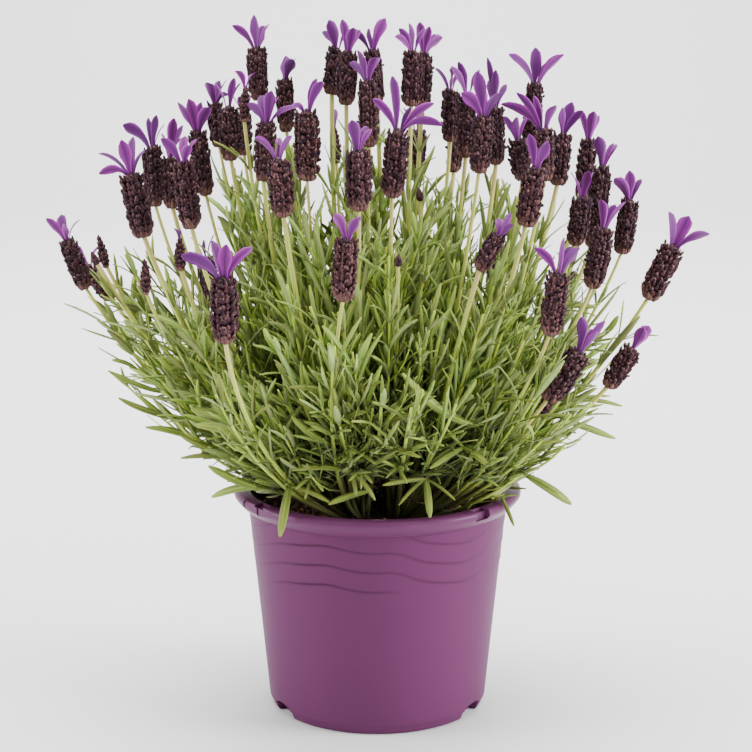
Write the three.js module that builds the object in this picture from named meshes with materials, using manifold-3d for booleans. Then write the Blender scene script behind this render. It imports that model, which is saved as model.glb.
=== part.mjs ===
// A butterfly lavender in flower, growing in a plastic nursery pot.
// Millimetres, +Z up. The origin is the centre of the pot's underside, and -Y is the plant's front.
import * as THREE from "three";
import { mergeVertices } from "three/addons/utils/BufferGeometryUtils.js";
import Module from "manifold-3d";

const wasm = await Module();
wasm.setup();

// Driving dimensions.
const GAP = 0.3; // left between pieces that touch
const POT = {
  height: 117,
  rimRadius: 75,
  collarRadius: 70.5,
  footRadius: 57.2,
  footHeight: 4.6,
  wallTopRadius: 67.3,
  wallTopHeight: 107.3,
  wall: 1.8,
  floor: 2.2,
  sides: 40,
};
const WAVE = { lines: [97, 86.7, 76.4], height: 5.3, periods: 3, crest: -23, ledge: 0.3 };
const NOTCH = { angles: [-60, 60, 120, -120], width: 19, height: 7.4, innerRadius: 47, depth: 16 };
const RIM_POCKET = { angles: [-54, 45, 126, -135], width: 8, depth: 5, cut: 1.4, radius: 68.9 };
const SOIL = { top: 105, bump: 0.8, sides: 30 };
const CROWN = { radius: 20, along: 11, across: 8.4, bottom: 106.8, top: 110.5, trunk: 3, rootDepth: 15, spacing: 3 };
const SECTOR = { count: 6, start: 34, margin: 0.35 }; // the plant's woody stems share it like slices of a cake
const STALK = {
  radius: 1.35,
  tip: 1.15,
  sides: 3,
  spread: 0.38, // how far out it runs before it rises, as a share of the way
  lift: 0.1,
  hold: 0.34,
  turn: 0.35, // how much of its end follows the spike
  pairs: [[0.26, 0.5], [0.38]],
  bend: 0.74,
  sunk: 1.5,
};
const SHOOT = {
  most: 8,
  least: 5,
  spread: 54,
  tip: 0.95,
  reach: 120,
  height: 95,
  centre: 150,
  rises: [-8, 14, 34, 56, 4, 24, 44, -2, 18],
  pairs: [0.34, 0.62, 0.92],
};
const LEAF = { length: 31, half: 2.2, thick: 0.8, base: 1.6, room: 1.5 };
const BRACT = {
  reach: 16,
  half: 2.3,
  thick: 0.8,
  tries: [1, 0.8, 0.64].flatMap((share) => [0, 25, -25, 50, -50, 75, -75].map((turn) => [turn, share])),
};
const SPIKE = { sides: 8, pitch: 6.2, relief: 0.13 };
const BENDS = [0, 6, -6, 12, -12, 18, -18, 26, -26, 36, -36]; // ways for a stem to pass others, sideways
const LEAF_TRIES = [[0, 0], [24, 0], [-24, 0], [0, 14], [0, -14], [24, 14], [-24, 14], [24, -14], [-24, -14]];
const FORWARD_LEAN = 0.06; // a flower in front or behind leans outwards by this share of its depth

const COLOUR = {
  pot: new THREE.MeshStandardMaterial({ color: 0x86547f, roughness: 0.42, metalness: 0 }),
  soil: new THREE.MeshStandardMaterial({ color: 0x2b1e15, roughness: 0.95, metalness: 0 }),
  green: new THREE.MeshStandardMaterial({ color: 0x86994f, roughness: 0.7, metalness: 0 }),
  flower: new THREE.MeshStandardMaterial({ color: 0x5d2f6a, roughness: 0.75, metalness: 0 }),
};

// The flowers from the left of the plant to the right: the foot of each spike, how far its top lies from
// there to the right and up, its thickness, and where the tips of its bracts lie from its top, right and up.
const FLOWERS = [
  { foot: [-150, 2, 220], lean: [-9, 25], thick: 9, tips: [[-9, 12], [-4, 12], [1, 9]] },
  { foot: [-143, 48, 207], lean: [-12, 16], thick: 8, tips: [[-7, 3]] },
  { foot: [-141, 16, 229], lean: [-4, 17], thick: 6, tips: [] },
  { foot: [-114, -41, 224], lean: [0, 18], thick: 6, tips: [] },
  { foot: [-98, -28, 234], lean: [0, 17], thick: 7, tips: [[-1, 5]] },
  { foot: [-116, -29, 251], lean: [-5, 31], thick: 12, tips: [[-16, 10], [-4, 17], [1, 18], [-15, 1]] },
  { foot: [-115, 16, 261], lean: [-1, 30], thick: 10, tips: [[-14, 12], [-2, 15], [3, 17]] },
  { foot: [-108, 33, 258], lean: [-1, 26], thick: 9, tips: [[-5, 12]] },
  { foot: [-91, -42, 257], lean: [-3, 32], thick: 11, tips: [[-10, 12], [0, 12], [4, 9]] },
  { foot: [-90, 31, 265], lean: [-4, 33], thick: 10, tips: [[-10, 15], [-4, 17], [2, 15], [7, 13]] },
  { foot: [-84, 48, 289], lean: [-2, 22], thick: 9, tips: [[-3, 12], [2, 12], [8, 6]] },
  { foot: [-76, 23, 284], lean: [-1, 27], thick: 10, tips: [[3, 15]] },
  { foot: [-68, 10, 305], lean: [1, 18], thick: 7, tips: [[-4, 8], [4, 6]] },
  { foot: [-72, 64, 283], lean: [0, 21], thick: 8, tips: [] },
  { foot: [-61, 24, 315], lean: [-1, 26], thick: 10, tips: [[-1, 17], [4, 11], [-12, 12]] },
  { foot: [-48, 46, 297], lean: [-1, 27], thick: 9, tips: [[0, 12], [5, 11]] },
  { foot: [-58, -1, 276], lean: [2, 29], thick: 10, tips: [[-9, 10], [-3, 13], [3, 16], [16, 8]] },
  { foot: [-45, -60, 265], lean: [-2, 27], thick: 11, tips: [[-11, 10], [6, 12], [0, 10]] },
  { foot: [-35, -20, 278], lean: [0, 34], thick: 12, tips: [[6, 16], [-4, 11]] },
  { foot: [-22, 62, 279], lean: [-1, 19], thick: 7, tips: [[0, 9]] },
  { foot: [-24, 40, 317], lean: [3, 23], thick: 10, tips: [[-4, 15], [-8, 9]] },
  { foot: [-16, 18, 313], lean: [1, 26], thick: 10, tips: [[-3, 17], [3, 13]] },
  { foot: [0, 34, 313], lean: [-3, 27], thick: 9, tips: [[-1, 11], [7, 16], [-11, 11]] },
  { foot: [-4, 0, 293], lean: [-1, 33], thick: 10, tips: [[-5, 15], [4, 12], [-9, 8]] },
  { foot: [-9, -60, 268], lean: [0, 28], thick: 12, tips: [[-3, 15], [4, 11]] },
  { foot: [7, -50, 273], lean: [3, 32], thick: 11, tips: [[-12, 15], [-3, 18], [17, 13], [17, 5]] },
  { foot: [17, 8, 313], lean: [1, 27], thick: 10, tips: [[-7, 12], [-2, 14], [-9, 8]] },
  { foot: [23, 36, 309], lean: [1, 29], thick: 9, tips: [[-2, 16], [3, 14], [10, 8]] },
  { foot: [21, 84, 268], lean: [1, 26], thick: 10, tips: [] },
  { foot: [39, 56, 291], lean: [0, 27], thick: 9, tips: [[-8, 11], [0, 12]] },
  { foot: [46, 29, 285], lean: [1, 32], thick: 10, tips: [[-9, 15], [-5, 17]] },
  { foot: [42, 84, 272], lean: [1, 23], thick: 8, tips: [] },
  { foot: [50, -30, 283], lean: [2, 27], thick: 10, tips: [[-11, 12], [-1, 13], [8, 12]] },
  { foot: [61, 12, 283], lean: [-1, 29], thick: 9, tips: [[-5, 18], [2, 17], [-1, 13]] },
  { foot: [79, 30, 289], lean: [3, 34], thick: 9, tips: [[-14, 15], [0, 18], [14, 15]] },
  { foot: [84, -11, 277], lean: [-1, 25], thick: 10, tips: [[-18, 10], [-9, 16], [5, 13]] },
  { foot: [74, 1, 276], lean: [-3, 20], thick: 10, tips: [[-2, 12]] },
  { foot: [72, -50, 259], lean: [4, 28], thick: 11, tips: [[-3, 16], [5, 13]] },
  { foot: [93, 16, 272], lean: [2, 26], thick: 10, tips: [[-1, 14], [5, 16], [10, 12]] },
  { foot: [110, 56, 260], lean: [3, 32], thick: 9, tips: [[-4, 15], [2, 15]] },
  { foot: [114, 40, 237], lean: [5, 42], thick: 10, tips: [[-3, 16], [8, 11]] },
  { foot: [101, 0, 243], lean: [3, 24], thick: 10, tips: [[-5, 12], [3, 14]] },
  { foot: [108, -20, 224], lean: [5, 30], thick: 11, tips: [[-2, 15], [11, 13]] },
  { foot: [129, 32, 234], lean: [4, 28], thick: 10, tips: [[0, 15], [-9, 12]] },
  { foot: [139, 0, 215], lean: [12, 27], thick: 12, tips: [[1, 18], [10, 14], [17, 6]] },
  { foot: [83, -70, 209], lean: [3, 30], thick: 11, tips: [[-11, 12], [2, 18], [10, 12]] },
  { foot: [83, -60, 175], lean: [15, 24], thick: 12, tips: [[0, 18], [12, 15], [7, 12]] },
  { foot: [82, -30, 160], lean: [8, 18], thick: 7, tips: [] },
  { foot: [117, -20, 173], lean: [12, 20], thick: 10, tips: [[4, 12], [9, 10]] },
  { foot: [49, -60, 239], lean: [9, 17], thick: 8, tips: [[0, 7], [6, 6]] },
  { foot: [-70, -110, 213], lean: [0, 30], thick: 12, tips: [[-18, 11], [-5, 17], [2, 16], [13, 14]] },
  { foot: [-16, -90, 229], lean: [2, 29], thick: 11, tips: [[-6, 11], [5, 11]] },
];
// Flowers low on the far side of the plant. They and the young green buds are one piece with their stalks.
const FAR_FLOWERS = [
  { foot: [-92, 88, 196], lean: [-4, 27], thick: 10, tips: [] },
  { foot: [-54, 112, 190], lean: [-2, 28], thick: 10, tips: [] },
  { foot: [-14, 124, 204], lean: [-1, 28], thick: 10, tips: [] },
  { foot: [28, 118, 186], lean: [1, 28], thick: 10, tips: [] },
  { foot: [66, 108, 202], lean: [3, 27], thick: 10, tips: [] },
  { foot: [102, 82, 190], lean: [5, 26], thick: 10, tips: [] },
];
const BUDS = [
  { foot: [-143, -2, 233], lean: [-3, 7], thick: 4 },
  { foot: [22, 4, 265], lean: [-1, 7], thick: 4 },
  { foot: [10, -60, 241], lean: [0, 6], thick: 4 },
];

const V = (x, y, z) => new THREE.Vector3(x, y, z);
const UP = V(0, 0, 1);
const radians = THREE.MathUtils.degToRad;
const fromFront = (degrees) => radians(degrees - 90); // an angle round the pot, counted from its front

// A number from 0 to 1 that is always the same for the same seed and turn.
function draw(seed, turn) {
  const wave = Math.sin(seed * 12.9898 + turn * 78.233) * 43758.5453;
  return wave - Math.floor(wave);
}

// The closed solid of a list of points and triangles.
function solid(points, faces) {
  return new wasm.Manifold(
    new wasm.Mesh({
      numProp: 3,
      vertProperties: new Float32Array(points.flatMap((p) => p.toArray())),
      triVerts: new Uint32Array(faces),
    }),
  );
}

// The closed solid of a three.js geometry.
function solidOf(geometry) {
  geometry.deleteAttribute("normal");
  geometry.deleteAttribute("uv");
  const merged = mergeVertices(geometry, 1e-4);
  const position = merged.attributes.position;
  const points = Array.from({ length: position.count }, (_, i) => new THREE.Vector3().fromBufferAttribute(position, i));
  const corners = Array.from(merged.index.array);
  const faces = [];
  for (let i = 0; i < corners.length; i += 3) {
    const [a, b, c] = corners.slice(i, i + 3);
    if (a !== b && b !== c && c !== a) faces.push(a, b, c);
  }
  return solid(points, faces);
}

// A closed skin over rings of equal length, each counter-clockwise about the way it runs, up to a tip or a flat end.
// Where sprouts are given, the facet of that row and side is drawn out over a section of four points to a tip.
function loft(rings, tip = null, sprouts = []) {
  const n = rings[0].length;
  const points = rings.flat();
  const faces = [];
  for (let j = 1; j < n - 1; j++) faces.push(0, j + 1, j);
  for (let i = 0; i + 1 < rings.length; i++)
    for (let j = 0; j < n; j++) {
      const a = i * n + j;
      const b = i * n + ((j + 1) % n);
      const sprout = sprouts.find(({ row, side }) => row === i && side === j);
      if (!sprout) {
        faces.push(a, b, b + n, a, b + n, a + n);
        continue;
      }
      const base = [a, b, b + n, a + n];
      const first = points.push(...sprout.section, sprout.tip) - 5;
      base.forEach((corner, k) => {
        const next = (k + 1) % 4;
        faces.push(corner, base[next], first + next, corner, first + next, first + k);
        faces.push(first + k, first + next, first + 4);
      });
    }
  const last = (rings.length - 1) * n;
  if (tip) {
    points.push(tip);
    for (let j = 0; j < n; j++) faces.push(last + j, last + ((j + 1) % n), points.length - 1);
  } else for (let j = 1; j < n - 1; j++) faces.push(last, last + j, last + j + 1);
  return solid(points, faces);
}

// A ring of points round a centre, in the plane of two directions.
function ringAt(centre, right, up, sides, radiusOf) {
  return Array.from({ length: sides }, (_, j) => {
    const turn = (j / sides) * 2 * Math.PI;
    return centre
      .clone()
      .addScaledVector(right, radiusOf(j) * Math.cos(turn))
      .addScaledVector(up, radiusOf(j) * Math.sin(turn));
  });
}

// A blade drawn out of a facet: it widens to a flat section at its middle and ends in a tip. The facet looks
// along out from a body that runs along axis.
function bladeFrom({ row, side, axis, out, base, middle, tip }, half, thick) {
  const along = tip.clone().sub(base).normalize();
  const across = axis.clone().cross(out).normalize();
  const above = along.clone().cross(across).normalize();
  const corner = (a, b) => middle.clone().addScaledVector(across, a * half).addScaledVector(above, (b * thick) / 2);
  return { row, side, middle, tip, section: [corner(-1, -1), corner(1, -1), corner(1, 1), corner(-1, 1)] };
}

// All pieces of a list as one body. A scrap that holds on to nothing is dropped, and a sealed hollow is filled.
function fuse(pieces) {
  const bodies = wasm.Manifold.union(pieces).decompose();
  return bodies.reduce((largest, body) => (body.volume() > largest.volume() ? body : largest));
}

// Round bodies: the pot and the soil in it.

const wallSlope = (POT.wallTopRadius - POT.footRadius) / (POT.wallTopHeight - POT.footHeight);
const outerRadius = (z) => POT.footRadius + wallSlope * (z - POT.footHeight);
const innerRadius = (z) => outerRadius(z) - POT.wall;

// How far a wave line lies above its own middle height at an angle round the pot.
function waveAt(angle) {
  const phase = WAVE.periods * (angle - fromFront(WAVE.crest));
  return WAVE.height * (Math.cos(phase) + 0.24 * Math.sin(phase) - 0.3 * Math.sin(3 * phase));
}

// A profile of [radius, height] points turned about Z. move(point, row, step) may then shift each point.
function turned(profile, sides, move) {
  const geometry = new THREE.LatheGeometry(
    profile.map(([radius, height]) => new THREE.Vector2(radius, height)),
    sides,
  ).rotateX(Math.PI / 2);
  const position = geometry.attributes.position;
  for (let i = 0; i < position.count; i++) {
    const point = new THREE.Vector3().fromBufferAttribute(position, i);
    move(point, i % profile.length, Math.floor(i / profile.length) % sides);
    position.setXYZ(i, point.x, point.y, point.z);
  }
  return solidOf(geometry);
}

// Stands a geometry that was drawn in X and Y, and runs along Z, on the pot's wall: X goes round, Y up, Z out.
function onWall(geometry, angle, radius, height) {
  const out = V(Math.cos(angle), Math.sin(angle), 0);
  const place = new THREE.Matrix4()
    .makeBasis(UP.clone().cross(out), UP, out)
    .setPosition(out.x * radius, out.y * radius, height);
  return solidOf(geometry.applyMatrix4(place));
}

function makePot() {
  const ledges = WAVE.lines.toReversed().flatMap((z) => [
    [outerRadius(z), z - 0.5, -WAVE.ledge],
    [outerRadius(z), z + 0.5, WAVE.ledge],
  ]);
  const profile = [
    [0, 0],
    [54, 0],
    [55.6, 1.2],
    [56.3, 4],
    [POT.footRadius, POT.footHeight],
    ...ledges,
    [POT.wallTopRadius, POT.wallTopHeight],
    [POT.collarRadius, 108.5],
    [74.2, 112.4],
    [POT.rimRadius, 114.5],
    [73.2, POT.height],
    [innerRadius(POT.height), POT.height],
    [innerRadius(POT.floor), POT.floor],
    [0, POT.floor],
  ];
  const shell = turned(profile, POT.sides, (point, row) => {
    const proud = profile[row][2];
    if (proud === undefined) return;
    const angle = Math.atan2(point.y, point.x);
    const height = point.z + waveAt(angle);
    const radius = outerRadius(height) + proud;
    point.set(radius * Math.cos(angle), radius * Math.sin(angle), height);
  });
  const half = NOTCH.width / 2;
  const arch = new THREE.Shape()
    .moveTo(-half, -1)
    .lineTo(half, -1)
    .lineTo(half - 2, NOTCH.height - 2)
    .lineTo(half - 4, NOTCH.height)
    .lineTo(4 - half, NOTCH.height)
    .lineTo(2 - half, NOTCH.height - 2);
  const notches = NOTCH.angles.map((degrees) =>
    onWall(
      new THREE.ExtrudeGeometry(arch, { depth: NOTCH.depth, bevelEnabled: false }),
      fromFront(degrees),
      NOTCH.innerRadius,
      0,
    ),
  );
  const pockets = RIM_POCKET.angles.map((degrees) =>
    onWall(
      new THREE.BoxGeometry(RIM_POCKET.width, 2 * RIM_POCKET.cut, RIM_POCKET.depth),
      fromFront(degrees),
      RIM_POCKET.radius,
      POT.height,
    ),
  );
  return [...notches, ...pockets].reduce((pot, cut) => pot.subtract(cut), shell);
}

// The middle of a slice of the plant, as an angle.
const sectorMiddle = (sector) => radians(SECTOR.start + (360 / SECTOR.count) * (sector + 0.5));

// Where the woody stem of a slice stands in the soil.
const trunkAt = (sector) =>
  V(CROWN.radius * Math.cos(sectorMiddle(sector)), CROWN.radius * Math.sin(sectorMiddle(sector)), 0);

function makeSoil() {
  const low = POT.floor + GAP;
  const profile = [
    [0, low],
    [innerRadius(low) - GAP, low],
    [innerRadius(SOIL.top) - GAP, SOIL.top],
    [56, SOIL.top - 0.2],
    [45, SOIL.top + 0.4],
    [32, SOIL.top],
    [12, SOIL.top + 0.6],
    [0, SOIL.top + 0.6],
  ];
  const firstLoose = 3;
  const lastLoose = 6;
  const ground = turned(profile, SOIL.sides, (point, row, step) => {
    if (row >= firstLoose && row <= lastLoose) point.z += SOIL.bump * (2 * draw(row, step) - 1);
  });
  const depth = 2 * (CROWN.rootDepth + GAP);
  return Array.from({ length: SECTOR.count }, (_, sector) => {
    const hole = new THREE.CylinderGeometry(CROWN.trunk + 0.4, CROWN.trunk + 0.4, depth, 8).rotateX(Math.PI / 2);
    const foot = trunkAt(sector);
    return solidOf(hole.translate(foot.x, foot.y, SOIL.top));
  }).reduce((soil, hole) => soil.subtract(hole), ground);
}

// Room: every flower, bract and stalk is a round rod, and rods of different pieces stay a gap apart.

const rods = [];

// The shortest distance between two straight stretches, a to b and c to d.
function distanceBetween(a, b, c, d) {
  const u = b.clone().sub(a);
  const v = d.clone().sub(c);
  const w = a.clone().sub(c);
  const uu = u.dot(u);
  const uv = u.dot(v);
  const vv = v.dot(v);
  const spread = uu * vv - uv * uv;
  const clamp = THREE.MathUtils.clamp;
  let s = spread > 1e-9 ? clamp((uv * v.dot(w) - vv * u.dot(w)) / spread, 0, 1) : 0;
  const t = clamp((uv * s + v.dot(w)) / vv, 0, 1);
  s = clamp((uv * t - u.dot(w)) / uu, 0, 1);
  return w.addScaledVector(u, s).addScaledVector(v, -t).length();
}

// Whether a rod stays clear of all the rods of other owners.
function isClear(from, to, radius, owner) {
  return rods.every(
    (rod) => rod.owner === owner || distanceBetween(from, to, rod.from, rod.to) >= radius + rod.radius + GAP,
  );
}

// Slices of the plant: each holds the stems and leaves of one woody stem.

const sectorOf = (point) => {
  const degrees = THREE.MathUtils.radToDeg(Math.atan2(point.y, point.x)) - SECTOR.start;
  return Math.floor((((degrees % 360) + 360) % 360) / (360 / SECTOR.count));
};

// The two upright planes beside a slice, as directions that point into it.
function sectorWalls(sector) {
  const first = radians(SECTOR.start + (360 / SECTOR.count) * sector);
  const second = first + radians(360 / SECTOR.count);
  return [V(-Math.sin(first), Math.cos(first), 0), V(Math.sin(second), -Math.cos(second), 0)];
}

const isInside = (point, sector) => sectorWalls(sector).every((wall) => wall.dot(point) >= SECTOR.margin);

// A point moved, where it has to be, to at least a margin inside its slice.
function keptInside(point, sector, margin) {
  for (const wall of sectorWalls(sector)) point.addScaledVector(wall, Math.max(0, margin - wall.dot(point)));
  return point;
}

// Where the stems of a slice leave its crown: a small copy of where their ends lie, spread until none touch.
function startsFor(ends, sector) {
  const out = trunkAt(sector).normalize();
  const round = UP.clone().cross(out);
  const centre = trunkAt(sector).setZ(CROWN.top - 2);
  const mean = ends.reduce((sum, end) => sum.addScaledVector(end, 1 / ends.length), V(0, 0, 0));
  const places = ends.map((end) => centre.clone().addScaledVector(end.clone().sub(mean).setZ(0), 0.1));
  const push = new THREE.Vector3();
  for (let turn = 0; turn < 300; turn++)
    places.forEach((place, i) => {
      places.slice(i + 1).forEach((other) => {
        const gap = push.subVectors(place, other).length();
        if (gap >= CROWN.spacing) return;
        push.setLength((CROWN.spacing - gap) / 2);
        place.add(push);
        other.sub(push);
      });
      const local = place.clone().sub(centre);
      const far = Math.hypot(local.dot(out) / (CROWN.along - 1.6), local.dot(round) / (CROWN.across - 1.6));
      if (far > 1) place.copy(centre).addScaledVector(local, 1 / far);
    });
  return places;
}

// The first curve of a list that keeps clear of other stems and flowers, or else the first of all. Its room is
// then taken.
function firstClear(curves, owner) {
  const passes = (curve) =>
    pointsOf(curve).every((point, i, all) => i < 2 || isClear(all[i - 1], point, STALK.radius, owner));
  const curve = curves.find(passes) ?? curves[0];
  pointsOf(curve).forEach((point, i, all) => {
    if (i > 0) rods.push({ from: all[i - 1], to: point, radius: STALK.radius, owner });
  });
  return curve;
}

// The curve of a flower stalk: low and outwards from the crown, then up to its spike, and bent sideways until it
// passes the other flowers and stalks.
function stalkCurve(flower, start, sector, owner) {
  const isJoined = owner >= flowers.length;
  const end = flower.foot.clone().addScaledVector(flower.axis, isJoined ? STALK.sunk : -GAP);
  const reach = start.distanceTo(end);
  const aside = end.clone().sub(start).cross(UP).normalize();
  const curves = BENDS.map((bend) => {
    const low = start.clone().lerp(end, STALK.spread).addScaledVector(aside, bend);
    low.z = start.z + STALK.lift * reach;
    const way = end.clone().sub(low).normalize().lerp(flower.axis, STALK.turn).normalize();
    const high = end.clone().addScaledVector(way, -STALK.hold * reach).addScaledVector(aside, bend / 2);
    return new THREE.CubicBezierCurve3(start, keptInside(low, sector, 2.2), keptInside(high, sector, 2.2), end);
  });
  return firstClear(curves, owner);
}

// The curve of a leafy shoot, bent in the same way.
function shootCurve(end, start, sector, owner) {
  const aside = end.clone().sub(start).cross(UP).normalize();
  const curves = [8, 0, 18, -6].flatMap((lift) =>
    BENDS.map((bend) => {
      const knee = start.clone().lerp(end, 0.4).addScaledVector(aside, bend);
      knee.z = THREE.MathUtils.lerp(start.z, end.z, 0.8) + lift;
      return new THREE.QuadraticBezierCurve3(start, keptInside(knee, sector, 2.2), end);
    }),
  );
  return firstClear(curves, owner);
}

// Where a shoot ends: on the plant's round outline, at its own height.
function shootEnd(sector, k) {
  const angle = sectorMiddle(sector) + radians(SHOOT.spread * (((0.1 + 0.618 * k) % 1) - 0.5));
  const rise = radians(SHOOT.rises[k] + 8 * draw(sector, k));
  const reach = SHOOT.reach * Math.cos(rise) * (0.92 + 0.12 * draw(sector, 30 + k));
  const end = V(reach * Math.cos(angle), reach * Math.sin(angle), SHOOT.centre + SHOOT.height * Math.sin(rise));
  return keptInside(end, sector, 4);
}

const pointsOf = (curve) => curve.getSpacedPoints(8);

// Flowers.

function place(row) {
  const foot = V(...row.foot);
  const top = V(row.foot[0] + row.lean[0], row.foot[1] * (1 + FORWARD_LEAN), row.foot[2] + row.lean[1]);
  return { ...row, foot, top, axis: top.clone().sub(foot).normalize(), length: foot.distanceTo(top) };
}

const flowers = FLOWERS.map(place);
const farFlowers = FAR_FLOWERS.map(place);
const buds = BUDS.map(place);

// How thick a spike is along its length, as a share of its full radius.
function spikeShare(along) {
  const shape = [
    [0, 0.42],
    [0.16, 0.88],
    [0.42, 1],
    [0.74, 0.96],
    [0.9, 0.8],
    [1, 0.4],
  ];
  const next = Math.max(1, shape.findIndex(([at]) => at >= along));
  const [[a, low], [b, high]] = [shape[next - 1], shape[next]];
  return THREE.MathUtils.mapLinear(along, a, b, low, high);
}

// The ways from a spike's top to the tips of its bracts: those of the list, which point forwards and back by
// turns, and on a full flower some more that lean back, or all round where the list gives none.
function bractReaches(flower, owner) {
  const listed = flower.tips.map(([right, up], k) => {
    const depth = Math.sqrt(Math.max(BRACT.reach ** 2 - right ** 2 - up ** 2, 9));
    return V(right, Math.min(depth, 9) * ((owner + k) % 2 ? 1 : -1), up);
  });
  if (flower.thick < 8) return listed;
  const extra = listed.length ? 2 : 4;
  const first = listed.length ? radians(40) : radians(20 + 50 * draw(owner, 5));
  const step = listed.length ? radians(95) : radians(90);
  return listed.concat(
    Array.from({ length: extra }, (_, k) => {
      const turn = first + step * k;
      return V(9 * Math.cos(turn), 9 * Math.sin(turn), 11 + 2 * draw(owner, k));
    }),
  );
}

// The bracts of a flower, drawn out of free facets below its top. Each turns about the spike, or stays short,
// until it is clear of the others and of the neighbouring flowers, and is left out where it never is.
function bractSprouts(flower, right, front, row, sides, owner) {
  const sprouts = [];
  const turnOf = (way) => Math.atan2(way.dot(front), way.dot(right));
  const base = flower.foot.clone().lerp(flower.top, (row + 0.5) / (row + 1));
  for (const reach of bractReaches(flower, owner)) {
    const up = Math.max(reach.dot(flower.axis), -2);
    const aside = Math.max(reach.clone().addScaledVector(flower.axis, -reach.dot(flower.axis)).length(), 5);
    for (const [turn, share] of BRACT.tries) {
      const angle = turnOf(reach) + radians(turn);
      const side = ((Math.floor((angle / (2 * Math.PI)) * sides) % sides) + sides) % sides;
      if (sprouts.some((other) => [0, 1, sides - 1].includes(Math.abs(other.side - side)))) continue;
      const out = right.clone().multiplyScalar(Math.cos(angle)).addScaledVector(front, Math.sin(angle));
      const tip = flower.top.clone().addScaledVector(out, aside * share).addScaledVector(flower.axis, up * share);
      const middle = base.clone().lerp(tip, 0.6).addScaledVector(flower.axis, 1.5).addScaledVector(out, 1.5);
      const isApart = sprouts.every((other) => distanceBetween(middle, tip, other.middle, other.tip) > 2 * BRACT.half);
      if (!isApart || !isClear(base, middle, BRACT.half, owner) || !isClear(middle, tip, BRACT.half, owner)) continue;
      const facet = { row, side, axis: flower.axis, out, base, middle, tip };
      sprouts.push(bladeFrom(facet, BRACT.half, BRACT.thick));
      rods.push({ from: middle, to: tip, radius: BRACT.half, owner });
      break;
    }
  }
  return sprouts;
}

// A flower: rings whose points stand out and lie back by turns, as the overlapping calyces do, with its bracts.
function makeFlower(flower, owner) {
  const right = V(0, 1, 0).cross(flower.axis).normalize();
  const front = flower.axis.clone().cross(right);
  const sides = flower.thick < 9.5 ? SPIKE.sides - 2 : SPIKE.sides;
  const rows = Math.max(3, Math.round(flower.length / SPIKE.pitch));
  const rings = Array.from({ length: rows + 1 }, (_, i) => {
    const radius = (flower.thick / 2 / (1 + SPIKE.relief)) * spikeShare(i / rows);
    const relief = i === 0 || i === rows ? 0 : SPIKE.relief;
    const centre = flower.foot.clone().lerp(flower.top, i / rows);
    return ringAt(centre, right, front, sides, (j) => radius * (1 + relief * ((i + j) % 2 ? 1 : -1)));
  });
  return loft(rings, null, bractSprouts(flower, right, front, rows - 1, sides, owner));
}

// Stems with their leaves.

// Whether a leaf keeps out of the soil, the pot's rim, the neighbouring slices and every other stem and leaf.
function leafFits({ base, middle, tip }, sector, owner) {
  const over = (point) => {
    const radius = Math.hypot(point.x, point.y);
    const floor = radius < 64 ? SOIL.top + 3.2 : radius < POT.rimRadius + 3 ? POT.height + 2 : 0;
    return point.z >= floor;
  };
  const quarter = base.clone().lerp(middle, 0.5);
  const nearTip = middle.clone().lerp(tip, 0.5);
  const side = tip.clone().sub(base).cross(UP).setLength(LEAF.half + 0.4);
  const edges = [middle.clone().add(side), middle.clone().sub(side), tip];
  return (
    edges.every((point) => isInside(point, sector)) &&
    [quarter, ...edges, nearTip].every(over) &&
    isClear(quarter, middle, LEAF.room, owner) &&
    isClear(middle, tip, LEAF.room, owner)
  );
}

// A leaf out of one facet of its stem, opened and turned until it fits, or nothing.
function leafFrom(facet, opening, length, sector, owner) {
  const across = facet.axis.clone().cross(facet.out);
  for (const [turn, more] of LEAF_TRIES) {
    const out = facet.out.clone().multiplyScalar(Math.cos(radians(turn))).addScaledVector(across, Math.sin(radians(turn)));
    const open = opening + radians(more);
    const way = facet.axis.clone().multiplyScalar(Math.cos(open)).addScaledVector(out, Math.sin(open));
    const middle = facet.base.clone().addScaledVector(way, 0.5 * length).addScaledVector(UP, 0.05 * length);
    const tip = facet.base.clone().addScaledVector(way, length).addScaledVector(UP, -0.05 * length);
    const placed = { ...facet, out, middle, tip };
    if (!leafFits(placed, sector, owner)) continue;
    rods.push({ from: facet.base.clone().lerp(middle, 0.5), to: middle, radius: LEAF.room });
    rods.push({ from: middle, to: tip, radius: LEAF.room });
    return [bladeFrom(placed, LEAF.half, LEAF.thick)];
  }
  return [];
}

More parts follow.
